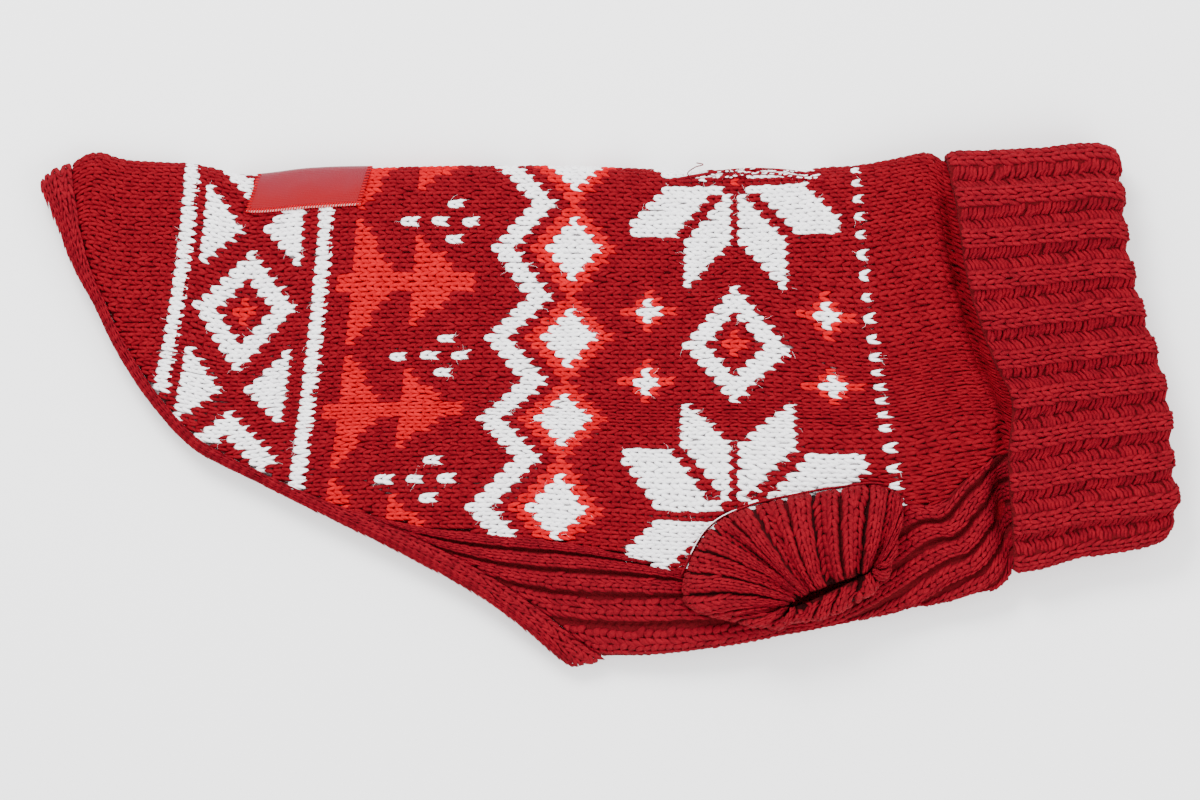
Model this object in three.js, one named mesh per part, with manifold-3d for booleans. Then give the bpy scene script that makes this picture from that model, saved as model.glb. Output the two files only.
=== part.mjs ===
// A small dog's knitted Christmas sweater that lies flat on its side.
// Millimetres. +X runs to the collar, +Y to the spine fold, +Z up, and the floor is z = 0.
// The near side is up. Spine and belly are soft folds that round down to the far side.

import * as THREE from 'three';
import { mergeVertices } from 'three/addons/utils/BufferGeometryUtils.js';
import Module from 'manifold-3d';

// Cloth
const KNIT = 2.4;
const SEAM_GAP = 0.35;
const BELLY_RIB = 1.0;
const COLLAR_RIB = 1.3;
const SLEEVE_RIB = 1.7;

// Loft of the two layers: height of the near side's outer face, by place along the body
const LOFT = [
  // x, height
  [-199, 12.0],
  [-60, 16.0],
  [60, 17.4],
  [200, 17.4],
];
const REAR_HEIGHT = 10.4;
const REAR_REACH = 60;
const NEAR_REACH = 1.4;
const FAR_REACH = 0.7;
const ROUNDNESS = 2.3;

// Collar: a ribbed tube turned down over itself
const COLLAR_HEIGHT = 22;
const COLLAR_WIDTH = 58;
const COLLAR_ACROSS = 146;
const FLAP = 2.6;
const TUCK = 4.6;
const NECK_LEVEL = COLLAR_HEIGHT - TUCK;
const NECK_AT = 7 / COLLAR_WIDTH;
const NECK_GAP = 0.95;
const COLLAR_BASE = NECK_AT + NECK_GAP / COLLAR_WIDTH;
const NECK_RAMP = 20;
const COLLAR_RIBS = 11;
const SEAM_AT_NECK = 0.68;

const COLLAR_TOP = [
  // x, y
  [118.1, 89.4],
  [135.9, 89.8],
  [153.5, 90.8],
  [165.0, 92.0],
  [173.8, 91.6],
  [178.5, 89.8],
];
const COLLAR_BOTTOM = [
  // x, y
  [141.9, -58.6],
  [153.5, -56.2],
  [165.0, -52.7],
  [176.6, -51.3],
  [188.5, -48.8],
  [195.0, -46.4],
];
const COLLAR_FREE_EDGE = [
  // x, y
  [118.1, 89.4],
  [121.6, 70.2],
  [125.5, 43.2],
  [134.2, 16.6],
  [140.6, 2.3],
  [139.5, -18.7],
  [140.9, -39.4],
  [141.9, -58.6],
];
const COLLAR_FOLD = [
  // x, y
  [178.5, 89.8],
  [180.2, 75.0],
  [181.8, 56.2],
  [186.4, 35.9],
  [192.7, 15.6],
  [196.2, 0.5],
  [197.4, -19.8],
  [199.3, -37.0],
  [195.0, -46.4],
];

// Body outline
const TAIL_END = [
  // x, y
  [-188.1, 85.2],
  [-195.5, 82.4],
  [-199.3, 78.6],
];
const SPINE_LINE = [
  // x, y
  [-188.1, 85.2],
  [-181.0, 89.3],
  [-169.0, 86.5],
  [-145.0, 84.9],
  [-126.0, 80.9],
  [-104.0, 82.4],
  [-72.6, 83.8],
  [-16.6, 84.2],
  [32.4, 82.8],
  [88.4, 84.5],
  [104.0, 87.4],
  [112.0, 89.0],
  [116.2, 87.0],
  [118.6, 85.0],
];
const BELLY_END = [
  // x, y
  [-1.2, -87.9],
  [-9.6, -90.6],
  [-14.5, -90.1],
];
const BELLY_LINE = [
  // x, y
  [-1.2, -87.9],
  [19.1, -87.2],
  [41.8, -84.2],
  [63.9, -80.0],
  [87.0, -75.1],
  [116.4, -68.1],
  [131.0, -65.0],
  [137.0, -62.8],
  [139.4, -60.2],
  [140.6, -56.9],
  [142.6, -54.2],
];
const SIDE_SEAM = [
  // x, y
  [-106.2, -29.9],
  [-86.3, -36.6],
  [-64.9, -41.1],
  [-21.9, -45.7],
  [6.8, -51.3],
  [26.4, -56.9],
  [65.0, -48.0],
  [104.1, -32.7],
  [114.6, -33.8],
  [125.1, -25.0],
];

// Rear opening: the line where the panels meet the band, and the band's own edge
const REAR_LINES = [
  // panel x, panel y, edge x, edge y
  [-188.1, 85.2, -199.3, 78.6],
  [-186.0, 70.5, -192.7, 64.2],
  [-181.8, 50.6, -185.9, 47.8],
  [-175.9, 36.4, -178.7, 35.2],
  [-169.6, 23.1, -172.4, 21.9],
  [-158.2, 5.1, -160.5, 3.3],
  [-142.8, -11.4, -144.7, -14.0],
  [-120.9, -23.1, -122.3, -25.7],
  [-106.2, -29.9, -107.6, -33.2],
  [-74.4, -42.5, -77.2, -48.3],
  [-42.9, -58.3, -47.4, -64.2],
  [-21.9, -72.6, -28.2, -77.9],
  [-7.9, -83.5, -19.8, -85.2],
  [-1.2, -87.9, -14.5, -90.1],
];
const SEAM_ROW = 8;
const BAND_PROUD = 0.4;
const BAND_GAP = 0.45;

// Leg openings, the near one with its short scrunched sleeve
const SLEEVE_OUTLINE = [
  // x, y
  [26.4, -67.7],
  [28.9, -53.7],
  [39.4, -39.7],
  [58.6, -32.7],
  [77.9, -29.2],
  [92.6, -27.5],
  [102.4, -31.7],
  [101.3, -43.2],
  [96.8, -57.9],
  [88.4, -67.6],
  [77.2, -72.9],
  [65.6, -75.4],
  [55.1, -76.8],
  [42.2, -74.7],
  [32.4, -71.9],
];
const SLEEVE_MIDDLE = { x: 66, y: -53 };
const HOLE_SHARE = 0.8;
const CUFF = { x: 78, y: -63, long: 17, short: 5.6, tilt: 0.4 };
const CUFF_HIGH = 27;
const CUFF_LOW = 21.5;
const SLEEVE_BULGE = 0.09;
const SLEEVE_RISE = 0.55;
const SLEEVE_RIBS = 20;
const SLEEVE_CREASES = [
  // turn, depth, width
  [0.15, 2.2, 0.018],
  [0.24, 2.8, 0.02],
  [0.33, 2.4, 0.018],
  [0.47, 2.0, 0.022],
  [0.93, 2.6, 0.02],
];
const FAR_SLEEVE_THICK = 2.4;
const FAR_SLEEVE_LIFT = FAR_SLEEVE_THICK + SEAM_GAP;
const FAR_SLEEVE_ROOM = { long: 46, short: 30, ramp: 0.8 };
const FAR_CUFF = { x: 50, y: -54, share: 0.26 };

// Label over the spine fold
const LABEL = { from: -122.3, to: -82.4, near: 13.2, far: 8.5, lean: -0.3, gap: 0.5, thick: 0.9 };
const LABEL_LIFT = LABEL.thick + LABEL.gap;
const LABEL_RAMP = 12;

// Middle of the outline's box, which the finished group moves to the origin
const CENTRE = { x: 0.28, y: 0.47 };

const { lerp } = THREE.MathUtils;
const smooth = (share) => THREE.MathUtils.smoothstep(share, 0, 1);

// Tables and curves

function valueAt(rows, place) {
  for (let k = 1; k < rows.length; k += 1) {
    const [from, low] = rows[k - 1];
    const [to, high] = rows[k];
    if (place <= to) return lerp(low, high, smooth((place - from) / (to - from)));
  }
  return rows[rows.length - 1][1];
}

function curveThrough(rows, closed = false) {
  const points = rows.map(([x, y]) => new THREE.Vector3(x, y, 0));
  return new THREE.CatmullRomCurve3(points, closed, 'centripetal');
}

// A patch between four border curves that share their corners
function patch(start, end, left, right) {
  const corners = [left(0), left(1), right(0), right(1)];
  return (u, t) => {
    const a = start(u);
    const b = end(u);
    const c = left(t);
    const d = right(t);
    const blend = (key) => {
      const ruled = lerp(a[key], b[key], t) + lerp(c[key], d[key], u);
      const low = lerp(corners[0][key], corners[2][key], u);
      const high = lerp(corners[1][key], corners[3][key], u);
      return ruled - lerp(low, high, t);
    };
    return { x: blend('x'), y: blend('y') };
  };
}

function nearest(border, x, y) {
  const { points, hand } = border;
  let best = { distance: Infinity, inX: 0, inY: 0 };
  for (let k = 1; k < points.length; k += 1) {
    const ax = points[k - 1].x;
    const ay = points[k - 1].y;
    const dx = points[k].x - ax;
    const dy = points[k].y - ay;
    const run = Math.hypot(dx, dy);
    const along = THREE.MathUtils.clamp(((x - ax) * dx + (y - ay) * dy) / (run * run), 0, 1);
    const distance = Math.hypot(x - ax - dx * along, y - ay - dy * along);
    if (distance < best.distance) {
      best = { distance, inX: (hand * dy) / run, inY: (-hand * dx) / run };
    }
  }
  return best;
}

// From 0 at a fold to 1 at its reach, as a rounded quarter
function rounded(share) {
  const left = Math.max(0, 1 - share);
  return (1 - left ** ROUNDNESS) ** (1 / ROUNDNESS);
}

// Collar surface

const collarTop = curveThrough(COLLAR_TOP);
const collarBottom = curveThrough(COLLAR_BOTTOM);
const collarFree = curveThrough(COLLAR_FREE_EDGE);
const collarFold = curveThrough(COLLAR_FOLD);
const collarPlan = patch(
  (along) => collarTop.getPointAt(THREE.MathUtils.clamp(along, 0, 1)),
  (along) => collarBottom.getPointAt(THREE.MathUtils.clamp(along, 0, 1)),
  (across) => collarFree.getPointAt(across),
  (across) => collarFold.getPointAt(across),
);

function collarSkin(along, across, side, depth) {
  const plan = collarPlan(along, across);
  const reach = NECK_LEVEL * (side > 0 ? NEAR_REACH : FAR_REACH) + TUCK;
  const fromTop = (across * COLLAR_ACROSS) / reach;
  const fromBottom = ((1 - across) * COLLAR_ACROSS) / reach;
  const tip = COLLAR_HEIGHT / 2;
  const rest = side > 0 ? COLLAR_HEIGHT - depth : depth;
  const inward = Math.max(0, 1 - fromBottom) - Math.max(0, 1 - fromTop);
  const height = tip + (rest - tip) * rounded(fromTop) * rounded(fromBottom);
  return new THREE.Vector3(plan.x, plan.y + depth * inward, height);
}

function neckPoint(across) {
  const { x, y } = collarSkin(NECK_AT, across, 1, TUCK);
  return { x, y };
}

// Body surface

const neckTop = neckPoint(0);
const neckBottom = neckPoint(1);
const neckSeam = neckPoint(SEAM_AT_NECK);
const tailEnd = curveThrough(TAIL_END);
const spineLine = curveThrough([...SPINE_LINE, [neckTop.x, neckTop.y]]);
const bellyEnd = curveThrough(BELLY_END);
const bellyLine = curveThrough([...BELLY_LINE, [neckBottom.x, neckBottom.y]]);
const sideSeam = curveThrough([...SIDE_SEAM, [neckSeam.x, neckSeam.y]]);
const rearPanelLine = curveThrough(REAR_LINES.map(([x, y]) => [x, y]));
const rearEdgeLine = curveThrough(REAR_LINES.map(([, , x, y]) => [x, y]));
const seamShare = SEAM_ROW / (REAR_LINES.length - 1);

const spineFold = {
  points: [...tailEnd.getSpacedPoints(8).reverse(), ...spineLine.getSpacedPoints(160).slice(1)],
  hand: 1,
};
const bellyFold = {
  points: [...bellyEnd.getSpacedPoints(8).reverse(), ...bellyLine.getSpacedPoints(120).slice(1)],
  hand: -1,
};
const rearEdge = { points: rearEdgeLine.getSpacedPoints(120), hand: 1 };
const freeEdge = { points: collarFree.getSpacedPoints(60), hand: 1 };

function level(x, y) {
  const fromRear = nearest(rearEdge, x, y).distance;
  return lerp(REAR_HEIGHT, valueAt(LOFT, x), smooth(fromRear / REAR_REACH));
}

function neckLift(x, y) {
  const { points } = freeEdge;
  const edge = points.find((point) => point.y <= y) ?? points[points.length - 1];
  return TUCK * smooth((x - edge.x + NECK_RAMP) / (NECK_RAMP - 1));
}

function sleeveLift(x, y) {
  const dx = x - SLEEVE_MIDDLE.x;
  const dy = y - SLEEVE_MIDDLE.y;
  const long = (dx * Math.cos(CUFF.tilt) + dy * Math.sin(CUFF.tilt)) / FAR_SLEEVE_ROOM.long;
  const short = (dy * Math.cos(CUFF.tilt) - dx * Math.sin(CUFF.tilt)) / FAR_SLEEVE_ROOM.short;
  return FAR_SLEEVE_LIFT * smooth((1 - Math.hypot(long, short)) / FAR_SLEEVE_ROOM.ramp + 1);
}

function labelLift(x, y, fromSpine) {
  const beside = Math.max(0, LABEL.from - x, x - LABEL.to) / LABEL_RAMP;
  const beyond = Math.max(0, fromSpine - LABEL.far) / LABEL_RAMP;
  return LABEL_LIFT * smooth(1.2 - Math.hypot(beside, beyond));
}

// Depth 0 is the cloth's outer face, KNIT its inner one, and less than 0 stands out
function skin(x, y, side, depth) {
  const spine = nearest(spineFold, x, y);
  const belly = nearest(bellyFold, x, y);
  const full = level(x, y);
  const lifted = neckLift(x, y);
  const reach = full * (side > 0 ? NEAR_REACH : FAR_REACH);
  const floor = Math.max(lifted, sleeveLift(x, y), labelLift(x, y, spine.distance));
  const tip = (full + lifted) / 2;
  const rest = side > 0 ? full - depth : floor + depth;
  const folds = rounded(spine.distance / reach) * rounded(belly.distance / reach);
  const offSpine = depth * Math.max(0, 1 - spine.distance / reach);
  const offBelly = depth * Math.max(0, 1 - belly.distance / reach);
  return new THREE.Vector3(
    x + spine.inX * offSpine + belly.inX * offBelly,
    y + spine.inY * offSpine + belly.inY * offBelly,
    tip + (rest - tip) * folds,
  );
}

// Closed meshes from grids of points

function closedGeometry(rings, faces) {
  const points = rings.flat();
  let volume = 0;
  for (const [a, b, c] of faces) {
    const cross = new THREE.Vector3().crossVectors(points[b], points[c]);
    volume += points[a].dot(cross);
  }
  const outward = volume > 0 ? faces : faces.map(([a, b, c]) => [a, c, b]);
  const geometry = new THREE.BufferGeometry().setFromPoints(points);
  geometry.setIndex(outward.flat());
  return geometry;
}

// Rings of points that close both round the ring and round the section
function ringSolid(rings) {
  const faces = [];
  const size = rings[0].length;
  for (let i = 0; i < rings.length; i += 1) {
    for (let j = 0; j < size; j += 1) {
      const a = i * size + j;
      const b = i * size + ((j + 1) % size);
      const c = ((i + 1) % rings.length) * size + ((j + 1) % size);
      const d = ((i + 1) % rings.length) * size + j;
      faces.push([a, b, c], [a, c, d]);
    }
  }
  return closedGeometry(rings, faces);
}

// An open sheet with an outer and an inner face, closed by its four rims
function sheetSolid(outer, inner) {
  const rings = outer.map((row, i) => [...row, ...[...inner[i]].reverse()]);
  const size = rings[0].length;
  const width = outer[0].length;
  const faces = [];
  for (let i = 1; i < rings.length; i += 1) {
    for (let j = 0; j < size; j += 1) {
      const next = (j + 1) % size;
      const a = (i - 1) * size + j;
      const b = (i - 1) * size + next;
      const c = i * size + next;
      const d = i * size + j;
      faces.push([a, b, c], [a, c, d]);
    }
  }
  const last = (rings.length - 1) * size;
  for (let j = 1; j < width; j += 1) {
    const under = size - 1 - j;
    faces.push([j - 1, under + 1, under], [j - 1, under, j]);
    faces.push([last + j - 1, last + under, last + under + 1]);
    faces.push([last + j - 1, last + j, last + under]);
  }
  return closedGeometry(rings, faces);
}

// Holes for the legs, cut through one layer of the panels

const wasm = await Module();
wasm.setup();

function toManifold(geometry) {
  const bare = new THREE.BufferGeometry();
  bare.setAttribute('position', geometry.getAttribute('position').clone());
  if (geometry.index) bare.setIndex(geometry.index.clone());
  const merged = mergeVertices(bare, 1e-4);
  return new wasm.Manifold(new wasm.Mesh({
    numProp: 3,
    vertProperties: new Float32Array(merged.getAttribute('position').array),
    triVerts: new Uint32Array(merged.index.array),
  }));
}

function toGeometry(manifold) {
  const { vertProperties, triVerts } = manifold.getMesh();
  const geometry = new THREE.BufferGeometry();
  geometry.setAttribute('position', new THREE.BufferAttribute(new Float32Array(vertProperties), 3));
  geometry.setIndex(new THREE.BufferAttribute(new Uint32Array(triVerts), 1));
  return geometry;
}

const sleeveOutline = curveThrough(SLEEVE_OUTLINE, true);

function legHole(bottom, top) {
  const shape = new THREE.Shape(sleeveOutline.getSpacedPoints(28).slice(0, -1).map((point) => (
    new THREE.Vector2(
      lerp(SLEEVE_MIDDLE.x, point.x, HOLE_SHARE),
      lerp(SLEEVE_MIDDLE.y, point.y, HOLE_SHARE),
    )
  )));
  const geometry = new THREE.ExtrudeGeometry(shape, { depth: top - bottom, bevelEnabled: false });
  geometry.translate(0, 0, bottom);
  return toManifold(geometry);
}

function withLegHoles(geometry) {
  const between = NECK_LEVEL / 2;
  const near = legHole(between, 2 * COLLAR_HEIGHT);
  const far = legHole(-COLLAR_HEIGHT, between);
  return toGeometry(toManifold(geometry).subtract(near).subtract(far));
}

// Panels

const BODY_STATIONS = 32;

// Steps from 0 to 1, closer together at both ends
function stations(count, crowd = 0.6) {
  return Array.from({ length: count + 1 }, (_, k) => {
    const share = k / count;
    return share - (crowd * Math.sin(2 * Math.PI * share)) / (2 * Math.PI);
  });
}

// Points shared out evenly along a path
function evenly(path, count) {
  const reached = [0];
  for (let k = 1; k < path.length; k += 1) {
    reached.push(reached[k - 1] + path[k].distanceTo(path[k - 1]));
  }
  const whole = reached[reached.length - 1];
  return Array.from({ length: count + 1 }, (_, n) => {
    const want = (whole * n) / count;
    const k = Math.max(1, reached.findIndex((value) => value >= want - 1e-9));
    const share = (want - reached[k - 1]) / Math.max(1e-9, reached[k] - reached[k - 1]);
    return (k - 1 + share) / (path.length - 1);
  });
}

const backPlan = patch(
  (u) => spineLine.getPointAt(u),
  (u) => sideSeam.getPointAt(u),
  (t) => rearPanelLine.getPoint(t * seamShare),
  (t) => neckPoint(t * SEAM_AT_NECK),
);

// Rows from the far seam over the spine fold to the near seam, closer together at the fold
const BACK_NEAR_ROWS = 14;
const BACK_FAR_ROWS = 8;
const BACK_CROWD = 1.7;
const backNear = Array.from({ length: BACK_NEAR_ROWS + 1 }, (_, k) => (k / BACK_NEAR_ROWS) ** BACK_CROWD);
const backFar = Array.from({ length: BACK_FAR_ROWS }, (_, k) => ((k + 1) / BACK_FAR_ROWS) ** BACK_CROWD);

function backPanel() {
  const rows = [
    ...backFar.map((t) => ({ side: -1, t })).reverse(),
    ...backNear.map((t) => ({ side: 1, t })),
  ];
  const face = (depth) => stations(BODY_STATIONS).map((u) => rows.map(({ side, t }) => {
    const { x, y } = backPlan(u, t);
    return skin(x, y, side, depth);
  }));
  return withLegHoles(sheetSolid(face(0), face(KNIT)));
}

const bellyPatch = patch(
  (u) => sideSeam.getPointAt(u),
  (u) => bellyLine.getPointAt(u),
  (t) => rearPanelLine.getPoint(seamShare + t * (1 - seamShare)),
  (t) => neckPoint(SEAM_AT_NECK + t * (1 - SEAM_AT_NECK)),
);

function bellyPlan(u, t) {
  const { x, y } = bellyPatch(u, t);
  return { x, y: y - SEAM_GAP * (1 - t) };
}

function nearSleeve(x, y) {
  const dx = (x - SLEEVE_MIDDLE.x) / FAR_SLEEVE_ROOM.long;
  const dy = (y - SLEEVE_MIDDLE.y) / FAR_SLEEVE_ROOM.short;
  return Math.hypot(dx, dy);
}

// Rows from the near seam to the belly fold, four to a rib, and from the fold to the far seam
const BELLY_RIBS = 5;
const BELLY_FAR_ROWS = 8;
const BELLY_PROFILE = [0, 0.85, 1, 0.85];
const BELLY_DENSE = 60;
const bellyFar = Array.from({ length: BELLY_FAR_ROWS }, (_, k) => (
  1 - ((BELLY_FAR_ROWS - k) / BELLY_FAR_ROWS) ** BACK_CROWD
));

function bellyNear(u) {
  const path = Array.from({ length: BELLY_DENSE + 1 }, (_, k) => {
    const { x, y } = bellyPlan(u, k / BELLY_DENSE);
    return skin(x, y, 1, 0);
  });
  return evenly(path, BELLY_RIBS * BELLY_PROFILE.length);
}

function bellyPanel() {
  const faces = [0, KNIT].map((depth) => stations(BODY_STATIONS).map((u) => {
    const near = bellyNear(u).map((t, k) => {
      const { x, y } = bellyPlan(u, t);
      const clear = smooth((nearSleeve(x, y) - 1) / 0.3) * smooth(Math.min(u, 1 - u) / 0.06);
      const raised = depth > 0 ? 0 : BELLY_RIB * BELLY_PROFILE[k % BELLY_PROFILE.length] * clear;
      return skin(x, y, 1, depth - raised);
    });
    const far = bellyFar.map((t) => {
      const { x, y } = bellyPlan(u, t);
      return skin(x, y, -1, depth);
    });
    return [...near, ...far.reverse()];
  }));
  return withLegHoles(sheetSolid(faces[0], faces[1]));
}

// Band round the rear opening

const bandPlan = patch(
  (s) => rearPanelLine.getPoint(s),
  (s) => rearEdgeLine.getPoint(s),
  (t) => tailEnd.getPoint(t),
  (t) => bellyEnd.getPoint(t),
);

function rearBand() {
  const onBelly = (t) => seamShare + t * (1 - seamShare);
  const around = [
    ...backNear.map((t) => ({ side: 1, s: t * seamShare })),
    ...bellyNear(0).slice(1).map((t) => ({ side: 1, s: onBelly(t) })),
    ...bellyFar.slice(1).reverse().map((t) => ({ side: -1, s: onBelly(t) })),
    ...backFar.map((t) => ({ side: -1, s: t * seamShare })).reverse(),
  ];
  return ringSolid(around.map(({ side, s }) => {
    const proud = side > 0 ? BAND_PROUD : 0;
    const a = bandPlan(s, 0);
    const b = bandPlan(s, 1);
    const first = BAND_GAP / Math.hypot(b.x - a.x, b.y - a.y);
    const section = [
      // across, depth
      [first, -proud],
      [0.5, -proud],
      [1, 0.5],
      [1, KNIT - 0.3],
      [first, KNIT],
    ];
    return section.map(([t, depth]) => {
      const { x, y } = bandPlan(s, t);
      return skin(x, y, side, side > 0 ? depth : Math.max(0, depth));
    });
  }));
}

// Collar

// One section from the free edge over the fold to the neck seam and back
function collarSection() {
  const outer = TUCK + KNIT;
  const bend = outer / 2;
  const turn = 1 - bend / COLLAR_WIDTH;
  const flapSteps = 5;
  const arcSteps = 4;
  const rows = [];
  for (let k = 0; k < flapSteps; k += 1) {
    rows.push({ along: (turn * k) / flapSteps, depth: 0, out: 1, ahead: 0 });
  }
  for (let k = 0; k <= arcSteps; k += 1) {
    const angle = (Math.PI * k) / arcSteps;
    const ribbed = Math.max(0, Math.cos(angle / 2));
    rows.push({
      along: turn + (bend * Math.sin(angle)) / COLLAR_WIDTH,
      depth: bend * (1 - Math.cos(angle)),
      out: Math.max(0, Math.cos(angle)) * ribbed,
      ahead: Math.sin(angle) * ribbed,
    });
  }
  rows.push({ along: (turn + COLLAR_BASE) / 2, depth: outer, out: 0, ahead: 0 });
  rows.push({ along: COLLAR_BASE, depth: outer, out: 0, ahead: 0 });
  rows.push({ along: COLLAR_BASE, depth: TUCK, out: 0, ahead: 0 });
  rows.push({ along: (turn + COLLAR_BASE) / 2, depth: TUCK, out: 0, ahead: 0 });
  rows.push({ along: turn, depth: TUCK, out: 0, ahead: 0 });
  rows.push({ along: turn + (TUCK - FLAP) / 2 / COLLAR_WIDTH, depth: (TUCK + FLAP) / 2, out: 0, ahead: 0 });
  rows.push({ along: turn, depth: FLAP, out: 0, ahead: 0 });
  rows.push({ along: turn / 2, depth: FLAP, out: 0, ahead: 0 });
  rows.push({ along: 0, depth: FLAP, out: 0, ahead: 0 });
  return rows;
}

function collar() {
  const perRib = 6;
  const farSteps = 14;
  const profile = [0, 0.1, 0.9, 1, 0.9, 0.1];
  const dense = 200;
  const path = Array.from({ length: dense + 1 }, (_, k) => collarSkin(0.5, k / dense, 1, 0));
  const around = evenly(path, COLLAR_RIBS * perRib).map((across, k) => ({
    across,
    side: 1,
    raised: COLLAR_RIB * profile[k % perRib],
  }));
  for (let k = farSteps - 1; k > 0; k -= 1) {
    around.push({ across: stations(farSteps, 0.85)[k], side: -1, raised: 0 });
  }
  const section = collarSection();
  return ringSolid(around.map(({ across, side, raised }) => section.map((row) => (
    collarSkin(row.along + (raised * row.ahead) / COLLAR_WIDTH, across, side, row.depth - raised * row.out)
  ))));
}

// Near sleeve: a short ribbed tube, pushed down into a low ring with its cuff on top

function sleeveSurface(turn, rise) {
  const base = sleeveOutline.getPointAt(((turn % 1) + 1) % 1);
  const away = Math.atan2(base.y - CUFF.y, base.x - CUFF.x) - CUFF.tilt;
  const long = CUFF.long * Math.cos(away);
  const short = CUFF.short * Math.sin(away);
  const cuffX = CUFF.x + long * Math.cos(CUFF.tilt) - short * Math.sin(CUFF.tilt);
  const cuffY = CUFF.y + long * Math.sin(CUFF.tilt) + short * Math.cos(CUFF.tilt);
  const inward = rise - SLEEVE_BULGE * Math.sin(Math.PI * Math.min(1, rise / SLEEVE_RISE));
  const foot = skin(base.x, base.y, 1, 0).z + SEAM_GAP;
  const top = lerp(CUFF_LOW, CUFF_HIGH, (1 + Math.sin(away)) / 2);
  const lip = 1.5 * smooth((rise - SLEEVE_RISE) / (1 - SLEEVE_RISE));
  return new THREE.Vector3(
    lerp(base.x, cuffX, inward),
    lerp(base.y, cuffY, inward),
    lerp(foot, top, rounded(rise / SLEEVE_RISE)) - lip,
  );
}

function sleeveNormal(turn, rise) {
  const step = 0.004;
  const low = Math.max(0, rise - step);
  const high = Math.min(1, rise + step);
  const round = sleeveSurface(turn + step, rise).sub(sleeveSurface(turn - step, rise));
  const up = sleeveSurface(turn, high).sub(sleeveSurface(turn, low));
  const normal = round.cross(up).normalize();
  return normal.z < 0 ? normal.negate() : normal;
}

function sleeveRelief(turn) {
  const wave = Math.cos(2 * Math.PI * turn * SLEEVE_RIBS);
  let relief = SLEEVE_RIB * (0.5 - 0.5 * wave);
  for (const [at, depth, width] of SLEEVE_CREASES) {
    relief -= depth * Math.exp(-(((turn - at) / width) ** 2));
  }
  return relief;
}

function sleevePoint(turn, rise, depth) {
  const point = sleeveSurface(turn, rise).addScaledVector(sleeveNormal(turn, rise), -depth);
  const under = nearest(bellyFold, point.x, point.y);
  if (under.distance > 1) {
    point.z = Math.max(point.z, skin(point.x, point.y, 1, 0).z + SEAM_GAP);
  }
  return point;
}

function nearSleeveSolid() {
  const perRib = 4;
  const count = SLEEVE_RIBS * perRib;
  const outerRises = [0, 0.05, 0.14, 0.28, 0.46, 0.72, 1];
  const innerRises = [1, 0.6, 0.28, 0];
  return ringSolid(Array.from({ length: count }, (_, k) => {
    const turn = k / count;
    const outer = outerRises.map((rise) => (
      sleevePoint(turn, rise, -sleeveRelief(turn) * smooth(rise / 0.2))
    ));
    const inner = innerRises.map((rise) => sleevePoint(turn, rise, KNIT));
    return [...outer, ...inner];
  }));
}

// Far sleeve: the same tube, pressed flat between the far side and the floor
function farSleeveSolid() {
  const count = 36;
  const outside = [
    // share of the outline, height
    [0.9, 0],
    [0.92, FAR_SLEEVE_THICK / 2],
    [0.9, FAR_SLEEVE_THICK],
  ];
  const cuff = [
    // share of the outline, height
    [FAR_CUFF.share, FAR_SLEEVE_THICK],
    [FAR_CUFF.share - 0.02, FAR_SLEEVE_THICK / 2],
    [FAR_CUFF.share, 0],
  ];
  return ringSolid(Array.from({ length: count }, (_, k) => {
    const base = sleeveOutline.getPointAt(k / count);
    const offX = base.x - SLEEVE_MIDDLE.x;
    const offY = base.y - SLEEVE_MIDDLE.y;
    const place = (middle) => ([share, height]) => (
      new THREE.Vector3(middle.x + offX * share, middle.y + offY * share, height)
    );
    return [...outside.map(place(SLEEVE_MIDDLE)), ...cuff.map(place(FAR_CUFF))];
  }));
}

// Label: a thin strip that follows the panel over the spine fold
function labelStrip() {
  const columns = 8;
  const rows = [
    ...[1, 0.4, 0.1].map((share) => ({ side: -1, from: LABEL.far * share })),
    ...[0, 0.05, 0.2, 0.45, 0.72, 1].map((share) => ({ side: 1, from: LABEL.near * share })),
  ];
  const { points } = spineFold;
  const spineY = (x) => {
    const k = Math.max(1, points.findIndex((point) => point.x >= x));
    const share = (x - points[k - 1].x) / (points[k].x - points[k - 1].x);
    return lerp(points[k - 1].y, points[k].y, share);
  };
  const face = (depth) => Array.from({ length: columns + 1 }, (_, k) => rows.map(({ side, from }) => {
    const x = lerp(LABEL.from, LABEL.to, k / columns) + LABEL.lean * from;
    return skin(x, spineY(x) - from, side, depth);
  }));
  return sheetSolid(face(-LABEL.gap - LABEL.thick), face(-LABEL.gap));
}

// Materials and assembly

const knitRed = new THREE.MeshStandardMaterial({ color: 0x9e1a1f, roughness: 0.95, metalness: 0 });
const ribRed = new THREE.MeshStandardMaterial({ color: 0xa81a20, roughness: 0.95, metalness: 0 });
const satinRed = new THREE.MeshStandardMaterial({ color: 0xc02a22, roughness: 0.45, metalness: 0 });

const sweater = new THREE.Group();

function add(name, geometry, material) {
  geometry.computeVertexNormals();
  const mesh = new THREE.Mesh(geometry, material);
  mesh.name = name;
  sweater.add(mesh);
}

add('back_panel', backPanel(), knitRed);
add('belly_panel', bellyPanel(), ribRed);
add('rear_band', rearBand(), ribRed);
add('collar', collar(), ribRed);
add('sleeve_near', nearSleeveSolid(), ribRed);
add('sleeve_far', farSleeveSolid(), ribRed);
add('label', labelStrip(), satinRed);

// The origin is under the middle of the whole garment
sweater.position.set(-CENTRE.x, -CENTRE.y, 0);

export default sweater;
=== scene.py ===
# A small dog's knitted Christmas sweater that lies flat on its side, seen from straight above.
# Shapes are worked out in millimetres, from the same sizes as the frame's solids.
# Every yarn loop of the upper side is its own form, laid on a grid of courses and wales:
# courses are counted from the tail to the collar, wales from the spine fold to the belly.
# A plan is an array whose last axis starts with x and y. Side 1 is up, side -1 lies on the floor.

import math

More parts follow.
